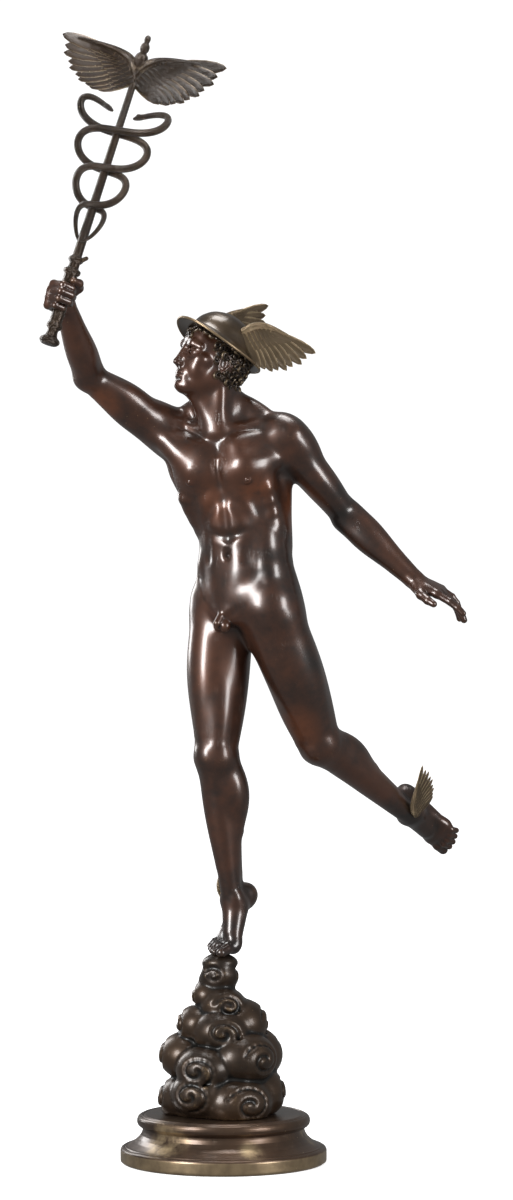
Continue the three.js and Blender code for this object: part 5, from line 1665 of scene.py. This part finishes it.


# Painted light: warm patches on the breast, the thighs, the left shoulder and both forearms, where light
# falls and lit lacquer shows warm; partly also lacquer thinned by handling.
PAINTED_LIGHT_PLACES: tuple[Spot, ...] = (
    (-0.012, -0.045, 0.462, 0.035), (0.022, -0.03, 0.478, 0.024), (-0.022, -0.03, 0.345, 0.03),
    (0.05, -0.02, 0.3, 0.036), (0.052, -0.01, 0.462, 0.03), (-0.062, -0.03, 0.49, 0.026),
    (0.095, 0.0, 0.395, 0.03), (-0.09, -0.03, 0.53, 0.03), (-0.01, -0.03, 0.25, 0.03),
)
# Where the base's hollow is rubbed through to the metal.
BARE_PLACES: tuple[Spot, ...] = (
    (-0.038, -0.044, 0.018, 0.022), (0.02, -0.06, 0.014, 0.012), (0.055, -0.01, 0.02, 0.014),
)
FINISHES = (
    BronzeFinish(
        Look.BODY, hollow=paint(0.006, 0.004, 0.003), skin=paint(0.013, 0.0098, 0.0082),
        thin=paint(0.2, 0.06, 0.02), worn=paint(0.32, 0.18, 0.09), thinness=0.45, wear=0.3, gloss=0.42,
        coat=1.0, coat_gloss=0.225, metal=0.5, grain=0.06, depth=1.65, dirt=0.45, warm=PAINTED_LIGHT_PLACES,
    ),
    BronzeFinish(
        Look.HAIR, hollow=paint(0.004, 0.003, 0.0025), skin=paint(0.02, 0.012, 0.008),
        thin=paint(0.05, 0.028, 0.014), worn=paint(0.3, 0.22, 0.13), thinness=0.6, wear=0.5, gloss=0.4,
        coat=0.5, coat_gloss=0.24, metal=0.6, grain=0.06,
    ),
    BronzeFinish(
        Look.HAT, hollow=paint(0.006, 0.005, 0.003), skin=paint(0.018, 0.013, 0.0085),
        thin=paint(0.1, 0.062, 0.03), worn=paint(0.4, 0.29, 0.15), thinness=0.7, wear=0.4, gloss=0.4,
        coat=0.9, coat_gloss=0.2, metal=0.6, grain=0.08,
    ),
    BronzeFinish(
        Look.WING, hollow=paint(0.02, 0.015, 0.01), skin=paint(0.17, 0.122, 0.074),
        thin=paint(0.42, 0.305, 0.18), worn=paint(0.8, 0.64, 0.41), thinness=0.85, wear=0.6, metal=0.8,
        gloss=0.36, coat=0.3, coat_gloss=0.25, barbs=0.5, dirt=0.5,
    ),
    BronzeFinish(
        Look.STAFF, hollow=paint(0.006, 0.0045, 0.0035), skin=paint(0.026, 0.018, 0.0125),
        thin=paint(0.12, 0.07, 0.038), worn=paint(0.46, 0.34, 0.2), thinness=0.6, wear=0.4, metal=0.7,
        gloss=0.3, coat=0.85, coat_gloss=0.16, barbs=0.5, dirt=0.4,
    ),
    BronzeFinish(
        Look.CLOUD, hollow=paint(0.005, 0.004, 0.003), skin=paint(0.026, 0.018, 0.013),
        thin=paint(0.12, 0.066, 0.033), worn=paint(0.34, 0.23, 0.12), thinness=0.6, wear=0.45, gloss=0.42,
        coat=0.5, coat_gloss=0.24, metal=0.6,
    ),
    BronzeFinish(
        Look.BASE, hollow=paint(0.008, 0.006, 0.004), skin=paint(0.05, 0.033, 0.024),
        thin=paint(0.17, 0.1, 0.06), worn=paint(0.66, 0.5, 0.29), thinness=0.7, wear=0.75, metal=0.75,
        gloss=0.34, coat=0.5, coat_gloss=0.22, rings=0.2, bare=BARE_PLACES, bare_below=0.0092,
    ),
)


def metres(u: Array) -> Array:
    """A place in hundredths of the man's height, as metres in the frame."""
    return FOOT + UNIT * u


def frame_of(out: Array, edge: Array) -> Array:
    """Axes as rows, with X along out and Y as near to edge as it can be."""
    x, y = unit(out), unit(across(edge, unit(out)))
    return np.array([x, y, np.cross(x, y)])


def clay_piece(name: str, clay: Clay, scale: float, sample: float, fine: Sequence[Box] = ()) -> Object:
    """Makes an object of the largest body of some clay.

    Args:
        name: the object's name.
        clay: the clay, in its own unit.
        scale: metres in that unit.
        sample: the width of a grid cell.
        fine: boxes where the cells are smaller.

    Returns:
        The object, with the clay's origin at the frame's.
    """
    points, quads = clay.skin(sample, fine)
    label = np.arange(len(points))
    while True:
        low = label[quads].min(1)
        new = label.copy()
        for i in range(4):
            np.minimum.at(new, quads[:, i], low)
        new = new[new]
        if (new == label).all():
            break
        label = new
    kept = label == np.bincount(label).argmax()
    number = np.cumsum(kept) - 1
    return Shell(points[kept] * scale, number[quads[kept[quads[:, 0]]]]).object(name)


@dataclass
class Figure:
    """The man: his cast body with its hair, and the hat on it."""

    bones: Skeleton
    workshop: Workshop
    triangles: int = 190_000
    wear_height: float = 0.0007
    hair_seed: int = 5
    lock_turns: float = 1.25
    hair_wear: float = 0.0006
    hat_wear: float = 0.0008
    rim_wear: float = 0.0004
    rim_girth: float = 0.21
    rim_reach: float = 6.8
    rim_drop: float = 0.18
    brim_start: float = 5.0
    brim_width: float = 1.95
    brim_lift: float = 0.25
    brim_droop: float = 0.7
    hat_oval: float = 1.12
    hat_segments: int = 144

    # rows of hair: how far below the brim, half the sweep in degrees from the back, the locks in it
    HAIR_ROWS = (
        (0.3, 180, 32), (1.1, 180, 31), (1.9, 124, 23), (2.7, 116, 21), (3.5, 104, 18), (4.3, 84, 14),
    )

    def build(self) -> None:
        """Builds and hands over the body, the hair and the hat."""
        self.body()
        self.hair()
        self.hat()

    def body(self) -> None:
        """Builds the man's skin."""
        man = Man(self.bones)
        piece = clay_piece("man", man.model(), UNIT, man.sample, man.fine_boxes())
        reshaped(piece, lambda p: p + FOOT)
        thinned(piece, self.triangles)
        mark_relief(piece, self.wear_height)
        self.workshop.hand_over(piece, "figure", Look.BODY)

    def curl(self) -> Object:
        """Builds one snail of hair, a spiral that rises to its middle, a unit wide.

        Returns:
            The lock, to be repeated.
        """
        t = np.linspace(0, 1, 13)
        angle, reach = 2 * math.pi * self.lock_turns * t, 0.68 * (1 - t) ** 0.9 + 0.02
        path = np.stack([1.2 * reach * np.cos(angle), reach * np.sin(angle), 0.1 + 0.45 * t**1.5], 1)
        girths = 0.2 + 0.17 * np.sin(math.pi * (0.1 + 0.75 * t))
        return self.workshop.sweep("lock", path, girths, Look.HAIR, sides=6)

    def hair_spots(self) -> list[tuple[Array, Array]]:
        """Finds where the locks sit, on the mass of the hair and along the brow.

        Returns:
            Each lock's place in hundredths and the way out of the head there.
        """
        clay = Clay()
        Head(self.bones, clay).build()
        axes, ear = self.bones.hat_axes, (3.9, 0.6, -0.8)
        spots = []
        for row, (drop, sweep, count) in enumerate(self.HAIR_ROWS):
            for i in range(count):
                angle = math.radians(-sweep + 2 * sweep * (i + 0.5 * (row % 2)) / count)
                out = vec(math.sin(angle), math.cos(angle), -0.06 * drop) @ axes
                line = self.bones.hat_at(0, 0, -drop) + out * np.linspace(7.5, 2.5, 80)[:, None]
                inside = np.argmax(clay.value(line, clay.steps) < 0)
                place = line[inside]
                x, y, z = self.bones.head_axes @ (place - self.bones.head)
                if math.dist((abs(x), y, z), ear) < 1.2 or (y < -1.2 and z < 2.9) or z < -4.0:
                    continue
                near = np.array([place + d * 0.1 for d in np.eye(3)])
                slope = clay.value(near, clay.steps) - clay.value(place[None], clay.steps)
                spots.append((place, unit(unit(slope) + out * 0.5)))
        return spots

    def hair(self) -> None:
        """Strews locks round the head under the brim, from the forehead to the nape."""
        draw = np.random.default_rng(self.hair_seed)
        places, turns, sizes = [], [], []
        for place, out in self.hair_spots():
            spin = Matrix.Rotation(draw.uniform(0, 2 * math.pi), 3, "Z")
            towards = Vector(out).to_track_quat("Z", "Y").to_matrix() @ spin
            places.append(metres(place - out * 0.1))
            turns.append(tuple(towards.to_euler()))
            shape = vec(draw.uniform(0.95, 1.35), 1, draw.uniform(0.8, 1.3))
            sizes.append(UNIT * shape * draw.uniform(0.68, 0.92))
        lock = self.curl()
        piece = self.workshop.strew("hair", lock, places, turns, sizes, Look.HAIR)
        bpy.data.objects.remove(lock)
        mark_relief(piece, self.hair_wear, 6)
        self.workshop.hand_over(piece, "figure", Look.HAIR)

    def hat_shape(self, p: Array) -> Array:
        """Pulls a turned hat into shape: drooping sides and a lifted point in front.

        Args:
            p: points of the turned hat, in hundredths.

        Returns:
            Their places on the finished hat.
        """
        reach = np.maximum(np.hypot(p[:, 0], p[:, 1]), 1e-6)
        out = np.maximum(0, reach - self.brim_start) / self.brim_width
        front = np.maximum(0, -p[:, 1] / reach) ** 3
        aside = (p[:, 0] / reach) ** 2
        x = p[:, 0] * (1 - 0.07 * out * aside)
        y = p[:, 1] * (self.hat_oval + 0.06 * front * out)
        rise = out * (self.brim_lift * front - self.brim_droop * aside)
        return np.stack([x, y, p[:, 2] + rise], 1)

    def hat(self) -> None:
        """Builds the round hat, hollow under its brim, and the bright roll along the edge."""
        axes, place = self.bones.hat_axes, self.bones.hat_at(0, 0, 0)
        crown = ((0, 5.1), (1.9, 4.85), (3.5, 3.95), (4.6, 2.45), (5.0, 1.0), (5.35, 0.4))
        brim = ((6.1, 0.1), (6.75, -0.03))
        inside = ((6.7, -0.36), (5.9, -0.3), (5.15, -0.1), (4.75, 0.25), (4.4, 1.2), (0, 1.4))
        profile = evened(rounded(crown + brim + inside, 0.7, 6), 0.3)[::-1]
        shell = lathed(profile, self.hat_segments)
        shell.points = metres(place + self.hat_shape(shell.points) @ axes)
        piece = shell.object("hat")
        mark_relief(piece, self.hat_wear)
        self.workshop.hand_over(piece, "figure", Look.HAT)
        angle = np.arange(self.hat_segments) * 2 * math.pi / self.hat_segments
        drop = np.full(len(angle), -self.rim_drop)
        round_it = np.stack([self.rim_reach * np.cos(angle), self.rim_reach * np.sin(angle), drop], 1)
        path = metres(place + self.hat_shape(round_it) @ axes)
        girths = np.full(len(path), self.rim_girth * UNIT)
        rim = self.workshop.sweep("hat_rim", path, girths, Look.WING, closed=True)
        mark_relief(rim, self.rim_wear, 4)
        self.workshop.hand_over(rim, "figure", Look.WING)


@dataclass
class Wing:
    """A small chased wing: a rounded arm, rows of coverts and a fan of pinions."""

    name: str
    place: Array
    axes: Array
    length: float
    workshop: Workshop
    look: Look = Look.WING
    spread: float = 0.9
    fullness: float = 0.5
    bend: float = 0.1
    pinions: int = 9
    thick: float = 0.036

    # rows of feathers: share of the reach, how many more than the pinions, width, how far they stand out
    ROWS = (
        (1.0, 0, 0.15, 0.0), (0.74, 0, 0.13, 0.5), (0.54, 0, 0.12, 0.9), (0.38, 0, 0.105, 1.2),
        (0.25, 0, 0.095, 1.5), (0.14, -1, 0.085, 1.8),
    )
    # the arm's line from the shoulder to the tip, and its girths at some of those places
    ARM = (
        (-0.03, 0.03), (0.05, 0.11), (0.14, 0.165), (0.24, 0.185), (0.38, 0.175), (0.54, 0.14), (0.7, 0.1),
        (0.84, 0.06),
    )
    ARM_GIRTHS = ((0, 1, 2.5, 4, 5.5, 7), (0.04, 0.06, 0.055, 0.04, 0.026, 0.01))
    # roots of the first and the last feather of a row, and the bow between them on pinions and coverts
    FIRST_ROOT, LAST_ROOT = vec(0.4, 0.125, 0), vec(-0.02, 0.0, 0)
    BOWS = (0.35, 0.55)
    # how far out counts as fully worn on the feathers, the arm and the shoulder
    WEAR = (0.00025, 0.0004, 0.0004)

    def feather(self) -> Object:
        """Builds one feather a unit long, with a raised quill and a rounded point.

        Returns:
            The feather along X, to be repeated.
        """
        s = np.array([0.0, 0.15, 0.38, 0.62, 0.82, 0.94, 1.0])
        half = 0.5 * np.array([0.45, 0.78, 0.97, 1.0, 0.8, 0.48, 0.06])
        v = np.array([-1.0, -0.55, 0.0, 0.55, 1.0])
        top = np.array([0.15, 0.6, 1.0, 0.6, 0.15])
        wide, long = len(v), len(s)
        along, across_it = np.repeat(s, wide), np.tile(v, long) * np.repeat(half, wide)
        rise = np.tile(top, long) * np.repeat(1 - 0.5 * s**2, wide)
        points = np.concatenate([np.stack([along, across_it, side * rise], 1) for side in (1, -1)])
        grid = np.arange(wide * long).reshape(long, wide)
        quads = np.stack([grid[:-1, :-1], grid[1:, :-1], grid[1:, 1:], grid[:-1, 1:]], -1).reshape(-1, 4)
        ring = np.concatenate([grid[0], grid[1:, -1], grid[-1, :-1][::-1], grid[1:-1, 0][::-1]])
        ahead, under = np.roll(ring, -1), wide * long
        wall = np.stack([ring, ring + under, ahead + under, ahead], 1)
        made = Shell(points, np.concatenate([quads, quads[:, ::-1] + under, wall[:, ::-1]])).object("feather")
        layer = made.data.uv_layers.new(name=QUILL)
        corner = np.empty(len(made.data.loops), np.int32)
        made.data.loops.foreach_get("vertex_index", corner)
        at = np.stack([np.tile(along, 2), np.tile(0.5 + 0.5 * v, 2 * long)], 1)[corner]
        layer.data.foreach_set("uv", at.astype(np.float32).ravel())
        return made

    def fan(self) -> Object:
        """Lays the rows of feathers, the pinions in the middle and the coverts on both faces.

        Returns:
            All the feathers, on the wing's own plane.
        """
        places, turns, sizes = [], [], []
        for row, (share, more, width, lift) in enumerate(self.ROWS):
            count, shift = self.pinions + more, 0.4 * (row % 2)
            for face in (1, -1) if row else (1,):
                for i in range(count):
                    t = (i + shift) / (count - 1 + shift)
                    inward = t**0.85
                    root = self.FIRST_ROOT * (1 - inward) + self.LAST_ROOT * inward
                    root[1] += 0.1 * math.sin(math.pi * inward) * self.BOWS[min(row, 1)]
                    angle, reach = -self.spread * t, (1 - self.fullness * t) * (1 - 0.035 * (i % 2))
                    way = vec(reach * math.cos(angle), reach * math.sin(angle), 0) - root
                    root = root - way * (0.04 if row else 0.0)
                    root[2] = face * self.thick * 0.42 * lift + self.thick * 0.3 * (0.5 - t)
                    places.append(root * self.length)
                    turns.append((0.14, 0.04 * face * lift, math.atan2(way[1], way[0])))
                    long = float(np.linalg.norm(way)) * (share + 0.04)
                    sizes.append((long * self.length, width * self.length, 0.3 * self.thick * self.length))
        shape = self.feather()
        fan = self.workshop.strew(self.name, shape, places, turns, sizes, self.look)
        bpy.data.objects.remove(shape)
        return fan

    def build(self) -> Object:
        """Builds the whole wing in its place.

        Returns:
            The wing.
        """
        steps = np.linspace(0, len(self.ARM) - 1, 60)
        line = np.array(self.ARM)
        path = np.stack([np.interp(steps, range(len(line)), line[:, i]) for i in (0, 1)] + [0 * steps], 1)
        for _ in range(12):
            path[1:-1] = 0.5 * path[1:-1] + 0.25 * (path[2:] + path[:-2])
        girths = self.length * np.interp(steps, *self.ARM_GIRTHS)
        arm = self.workshop.sweep(self.name + "_arm", path * self.length, girths, self.look)
        ball = lathed([(math.sin(a), -math.cos(a)) for a in np.linspace(0, math.pi, 13)], 20)
        size = np.array([0.1, 0.085, 0.85 * self.thick]) * self.length
        ball = ball.placed(np.diag(size), vec(0.03, 0.04, 0) * self.length)
        parts = [self.fan(), arm, ball.object(self.name + "_shoulder")]
        for part, height in zip(parts, self.WEAR):
            if QUILL not in part.data.uv_layers:
                part.data.uv_layers.new(name=QUILL)
            mark_relief(part, height, 4)
        wing = joined_piece(self.name, parts)

        def settle(p: Array) -> Array:
            """Curves the wing and lays it in its place."""
            lift = self.bend * (p[:, 0] ** 2 + 0.4 * p[:, 1] ** 2) / self.length
            return (p + np.stack([0 * lift, 0 * lift, lift], 1)) @ self.axes + self.place

        return reshaped(wing, settle)


@dataclass
class BodyWings:
    """The wings on the hat and on the ankles."""

    bones: Skeleton
    workshop: Workshop
    hat_length: float = 0.05
    ankle_length: float = 0.036

    def build(self) -> None:
        """Builds and hands over the four wings."""
        for side, word in ((-1, "right"), (1, "left")):
            place = self.bones.hat_at(side * 4.55, 0.9, 2.5)
            out = unit(vec(side * 0.45, 0.7, 1.25 if side < 0 else 0.2) @ self.bones.hat_axes)
            edge = vec(side * 0.1, -0.4, 0.9) @ self.bones.hat_axes
            self.wing("hat_wing_" + word, place, frame_of(out, edge), self.hat_length, -0.1 * side)
            limb = self.bones.limb(side)
            shin = unit(limb.knee - limb.ankle)
            outer = unit(across(self.bones.pelvis_axes[0] * side, shin))
            behind = unit(across(self.bones.pelvis_axes[1], shin))
            place = limb.ankle + outer * 2.1 + shin * 0.9 - behind * 0.1
            out = unit(outer * 0.5 + behind * 0.8 + shin * 0.55)
            axes = frame_of(out, shin - behind * 0.5)
            self.wing("ankle_wing_" + word, place, axes, self.ankle_length, -0.08 * side)

    def wing(self, name: str, place: Array, axes: Array, length: float, bend: float) -> None:
        """Builds one wing and hands it over.

        Args:
            name: the node that it stands for.
            place: its root, in hundredths.
            axes: the way to its tip, its leading edge and its outer face, as rows.
            length: how long it is, in metres.
            bend: how far it curves out.
        """
        made = Wing(name, metres(place), axes, length, self.workshop, bend=bend).build()
        made.name = name + "_feathers"
        self.workshop.hand_over(made, name, Look.WING)


@dataclass
class Staff:
    """The staff in the raised fist: a turned rod, two snakes, a pair of wings and a cut twig."""

    bones: Skeleton
    workshop: Workshop
    snake_girth: float = 0.0026
    snake_steps: int = 260
    half_turns: float = 3.88
    first_reach: float = 2.5
    added_reach: float = 33.0
    loop_depth: float = 4.6
    snake_start: float = 40.0
    snake_climb: float = 106.0
    wing_length: float = 0.064
    segments: int = 40
    wear_height: float = 0.0005

    # the turned rod from pommel to finial: radius and height above the grip, in millimetres
    PROFILE = (
        (0, -33.9), (5.2, -33.6), (6.9, -32), (7.3, -30.6), (6.6, -29.2), (4.4, -27.6), (3.6, -24.4),
        (3.8, -22.6), (5.3, -21.4), (5.5, -20), (5.3, -18.7), (4.5, -17.6), (4.6, 17.2), (5.9, 18.4),
        (6.1, 19.6), (5.9, 20.8), (3.8, 22), (3.6, 25.6), (5.1, 27.2), (5.3, 28.2), (5.1, 29.2), (3.3, 31),
        (2.3, 168), (4.2, 171), (5, 175), (4.2, 178.6), (2.2, 180.6), (3.2, 182.6), (3.3, 184.4), (3.1, 186),
        (1.6, 188), (2.1, 189.6), (2.2, 191), (1.7, 192.8), (0, 193.6),
    )

    @property
    def axes(self) -> Array:
        """The staff's own axes.

        Returns:
            The plane of its wings, the way across and its length, as rows.
        """
        z = self.bones.staff_way
        x = unit(across(vec(0.96, -0.28, 0), z))
        return np.array([x, np.cross(z, x), z])

    def snake_line(self, side: int) -> Array:
        """Winds a snake round the staff.

        Args:
            side: -1 or 1, which way it winds.

        Returns:
            Its line from the tail to the neck, in millimetres of the staff's frame.
        """
        t = np.linspace(0, 1, self.snake_steps)
        turns = math.pi * self.half_turns * t
        reach = self.first_reach + self.added_reach * t**0.8
        rise = self.snake_start + self.snake_climb * t - 3.6 * np.sin(2 * turns)
        rise -= 1100 * np.maximum(0, t - 0.9) ** 2
        return np.stack([side * reach * np.sin(turns), -side * self.loop_depth * np.cos(turns), rise], 1)

    def snake(self, side: int) -> list[Object]:
        """Builds one snake: its body along the line and its modelled head.

        Args:
            side: -1 or 1, which way it winds.

        Returns:
            The body and the head.
        """
        line = self.snake_line(side) * 0.001
        t = np.linspace(0, 1, len(line))
        girth = self.snake_girth * np.minimum(1, 0.28 + 2.6 * t) * (1 - 0.25 * np.maximum(0, t - 0.9) / 0.1)
        body = self.workshop.sweep(f"snake_{side}", line, girth, Look.STAFF, sides=14)
        way = unit(line[-1] - line[-6])
        axes = frame_of(way, np.cross(vec(0, 0, 1), way))
        clay, eye = Clay(far=40.0), np.eye(3)
        clay.lump(vec(-1.0, 0, 0), (2.6, 1.9, 1.7), eye, 1)
        clay.lump(vec(2.2, 0, 0.1), (3.4, 2.9, 1.9), eye, 1.4)
        clay.lump(vec(5.2, 0, -0.1), (2.6, 1.7, 1.3), eye, 1.4)
        for m in (-1, 1):
            clay.lump(vec(2.9, m * 1.9, 1.3), (1.5, 0.8, 0.7), eye, 0.5)
            clay.lump(vec(3.4, m * 2.2, 0.9), (0.7, 0.5, 0.6), eye, 0.12)
            clay.lump(vec(7.0, m * 0.7, 0.5), (0.3, 0.25, 0.25), eye, 0.1, out=True)
            clay.rod(vec(2.0, m * 3.2, -0.55), vec(7.4, m * 0.9, -0.35), 0.2, 0.2, 0.3, out=True)
        head = clay_piece(f"snake_head_{side}", clay, 0.001, 0.28)
        reshaped(head, lambda p: p @ axes + line[-1])
        return [body, head]

    def build(self) -> None:
        """Builds and hands over the staff."""
        profile = evened(rounded([(r * 0.001, z * 0.001) for r, z in self.PROFILE], 0.0007, 3), 0.0012)
        parts = [lathed(profile, self.segments).object("staff")]
        stub = [(0, 0), (0.0018, 0.0), (0.0014, 0.007), (0.0006, 0.0078), (0, 0.0078)]
        leaning = np.array([(0.6, 0, -0.8), (0, 1, 0), (0.8, 0, 0.6)])
        twig = lathed(rounded(stub, 0.0004, 3), 16).placed(leaning, vec(0.002, 0, 0.027))
        parts.append(twig.object("twig"))
        for side in (-1, 1):
            parts += self.snake(side)
        for part in parts:
            part.data.uv_layers.new(name=QUILL)
            mark_relief(part, self.wear_height, 6)
        for m in (-1, 1):
            axes = np.array([(m * 0.94, 0, 0.342), (-m * 0.342, 0, 0.94), (0, -m, 0)])
            root = vec(m * 0.0015, 0, 0.16)
            wing = Wing(
                f"staff_wing_{m}", root, axes, self.wing_length, self.workshop, Look.STAFF,
                spread=0.8, fullness=0.6, bend=0.03, pinions=10,
            )
            parts.append(wing.build())
        piece = joined_piece("staff", parts)
        grip = metres(self.bones.hand(-1).at(*GRIP))
        reshaped(piece, lambda p: p @ self.axes + grip)
        self.workshop.hand_over(piece, "caduceus", Look.STAFF)


@dataclass
class CloudBank:
    """The bank of cloud under the foot: rings of billows, each with a carved scroll."""

    workshop: Workshop
    sample: float = 0.3
    seat: float = 0.0003
    triangles: int = 150_000
    wear_height: float = 0.0012
    unevenness: float = 0.12
    stagger: float = 0.8
    scroll_turns: float = 1.35
    scroll_steps: int = 22
    groove: float = 0.2

    # rings of billows: height, how many, how far out, their radius and the turn of the first in degrees
    RINGS = (
        (-22.4, 6, 5.6, 4.9, 0), (-17, 5, 5.3, 4.9, 30), (-11.6, 4, 3.3, 4.2, 5), (-7.2, 3, 1.8, 3.1, 50),
        (-3.6, 3, 0.9, 2.3, 10),
    )

    def build(self) -> None:
        """Builds and hands over the cloud."""
        clay = Clay()
        clay.rod(vec(0, 0, -25), vec(0, 0, -11), 7.6, 4, 1)
        clay.rod(vec(0, 0, -11), vec(0, 0, -2.0), 3.4, 2.1, 2)
        clay.lump(vec(0.1, 0, -1.3), (2.9, 2.7, 1.6), np.eye(3), 0.8)
        scrolls = []
        for z, count, distance, radius, turn in self.RINGS:
            for i in range(count):
                angle = math.radians(turn + 360 * i / count)
                x, y = math.cos(angle), math.sin(angle)
                size = radius * (1 + self.unevenness * math.sin(5 * i + z))
                centre = vec(x * distance, y * distance, z + self.stagger * math.sin(3 * i + z))
                axes = np.array([(-y, x, 0), (x, y, 0), (0, 0, 1)])
                radii = size * vec(1.12, 1, 0.86)
                clay.lump(centre, radii, axes, 0.6)
                scrolls += self.scroll(centre, radii, axes, 1 if (i + int(z)) % 2 else -1)
        for line in scrolls:
            clay.carve(line, 0.5)
        foot = -(FOOT[2] - BASE_TOP - self.seat) / UNIT
        clay.carve(Slab(foot), 0.05)
        piece = clay_piece("cloud", clay, UNIT, self.sample)
        reshaped(piece, lambda p: p + FOOT)
        thinned(piece, self.triangles)
        mark_relief(piece, self.wear_height)
        self.workshop.hand_over(piece, "cloud_support", Look.CLOUD)

    def scroll(self, centre: Array, radii: Array, axes: Array, hand: int) -> list[Spindle]:
        """The groove of a spiral on the outward face of a billow.

        Args:
            centre: the billow's middle.
            radii: its radii.
            axes: its axes, with the outward one second.
            hand: which way the spiral winds.

        Returns:
            Short stretches of the groove.
        """
        points = []
        for i in range(self.scroll_steps + 1):
            t = i / self.scroll_steps
            turn = hand * 2 * math.pi * self.scroll_turns * t + 0.6
            off = 0.12 + 0.62 * t
            local = vec(math.sin(off) * math.cos(turn), math.cos(off), math.sin(off) * math.sin(turn))
            points.append(centre + (local * radii) @ axes)
        return [Spindle(a, b, self.groove, self.groove) for a, b in zip(points, points[1:])]


@dataclass
class Base:
    """The turned round base in two steps, with a hollow between them."""

    workshop: Workshop
    radius: float = 0.073
    height: float = BASE_TOP
    segments: int = 200
    wear_height: float = 0.0006

    # the turned wall: share of the radius, and height in thirty-fourths of the base's
    PROFILE = (
        (0.9, 0), (0.975, 0), (0.998, 1.2), (1, 2.2), (1, 8.8), (0.992, 10.2), (0.972, 11.1), (0.966, 11.2),
        (0.962, 10.8), (0.956, 10.8), (0.952, 11.5), (0.944, 11.9), (0.936, 11.7), (0.93, 11.9), (0.9, 13.2),
        (0.862, 15), (0.826, 17.4), (0.8, 20), (0.786, 22.6), (0.784, 24.4), (0.79, 24.8), (0.798, 24.8),
        (0.806, 25.6), (0.822, 26.2), (0.835, 27.4), (0.84, 29), (0.838, 30.8), (0.828, 32.4), (0.812, 33.3),
        (0.804, 33.3), (0.8, 33.6), (0.792, 34), (0.784, 33.6), (0.78, 33.2), (0.774, 33.2), (0.766, 33.6),
        (0.758, 34),
    )

    def build(self) -> None:
        """Builds and hands over the base."""
        wall = [(share * self.radius, z * self.height / 34) for share, z in self.PROFILE]
        profile = evened(rounded([(0, 0), *wall, (0, self.height)], 0.0003, 3), 0.0016)
        piece = lathed(profile, self.segments).object("base")
        mark_relief(piece, self.wear_height, 10)
        self.workshop.hand_over(piece, "round_base", Look.BASE)


@dataclass
class Studio:
    """The pale floor, the soft lights and the camera."""

    distance: float = 2.634
    eye: float = 0.3975
    aside: float = 0.0233
    lens: float = 111.6
    surround: float = 0.18
    aim: float = 0.4
    floor_reach: float = 9.0
    floor_depth: float = 0.01

    # soft lights: name, place, width, height and watts
    LIGHTS = (
        ("key", (-1.5, -1.5, 0.95), 0.6, 1.2, 48.0),
        ("fill", (1.9, -1.5, 0.8), 0.7, 1.2, 30.0),
        ("top", (0.1, 0.2, 2.4), 0.9, 0.9, 24.0),
        ("back", (-1.3, 1.6, 1.0), 0.6, 1.2, 14.0),
    )

    def build(self) -> None:
        """Sets up the whole studio."""
        self.floor()
        self.surroundings()
        for light in self.LIGHTS:
            self.light(*light)
        lens = bpy.data.cameras.new("camera")
        lens.lens, lens.sensor_width, lens.clip_end = self.lens, 36.0, 50.0
        camera = in_scene("camera", lens)
        camera.location = (self.aside, -self.distance, self.eye)
        camera.rotation_euler = (math.radians(90), 0, 0)
        bpy.context.scene.camera = camera
        bpy.context.scene.view_settings.view_transform = "Standard"

    def floor(self) -> None:
        """Lays a large round pale floor whose whiteness is painted light: it emits light, weaker near the
        statue and stronger further out, where the lamps' light falls off.
        """
        reach, depth = self.floor_reach, self.floor_depth
        disc = lathed([(0, -depth), (reach, -depth), (reach, 0.0), (0, 0.0)], 96).object("floor")
        material = bpy.data.materials.new("pale_floor")
        material.use_nodes = True
        shader = material.node_tree.nodes["Principled BSDF"]
        w = Wiring(material.node_tree)
        where = w.node("ShaderNodeTexCoord").outputs["Object"]
        tone = w.blend(w.noise(where, 3.0), paint(0.84, 0.84, 0.84), paint(0.87, 0.87, 0.87))
        away = w.node("ShaderNodeVectorMath", {0: where}, operation="LENGTH").outputs["Value"]
        # painted light: the floor emits more light further from the statue, in place of lamplight that fades
        # with distance
        painted_floor_light = w.remap(away, 0.3, 1.4, 0.72, 1.15)
        light = {"Emission Color": paint(1, 1, 1), "Emission Strength": painted_floor_light}
        w.feed(shader, light | {"Base Color": tone, "Roughness": 0.8})
        disc.data.materials.append(material)
        disc.visible_glossy = disc.visible_diffuse = False

    def surroundings(self) -> None:
        """Puts white paper all round: bright to look at, softer as a light."""
        world = bpy.data.worlds.new("white_paper")
        world.use_nodes = True
        w = Wiring(world.node_tree)
        seen = w.node("ShaderNodeLightPath").outputs["Is Camera Ray"]
        strength = w.remap(seen, 0.0, 1.0, self.surround, 1.1)
        w.feed(world.node_tree.nodes["Background"], {"Color": paint(1, 1, 1), "Strength": strength})
        bpy.context.scene.world = world

    def light(self, name: str, place: Triple, width: float, height: float, power: float) -> None:
        """Hangs an upright soft light that looks at the statue.

        Args:
            name: the light's name.
            place: where it hangs.
            width: how wide it is.
            height: how tall it is.
            power: its power in watts.
        """
        lamp = bpy.data.lights.new(name, "AREA")
        lamp.shape, lamp.energy = "RECTANGLE", power
        lamp.size, lamp.size_y = width, height
        holder = in_scene(name, lamp)
        holder.location = place
        aim = Vector((0, 0, self.aim)) - Vector(place)
        holder.rotation_euler = aim.to_track_quat("-Z", "Y").to_euler()


def main() -> None:
    """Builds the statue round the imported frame, a sub-assembly at a time."""
    logging.basicConfig(level=logging.INFO, format="%(message)s")
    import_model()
    bones = Skeleton()
    workshop = Workshop.opened()
    Studio().build()
    for assembly in (
        Figure(bones, workshop),
        BodyWings(bones, workshop),
        Staff(bones, workshop),
        CloudBank(workshop),
        Base(workshop),
    ):
        assembly.build()
        log.info("%s built", type(assembly).__name__)


if __name__ == "__main__":
    main()
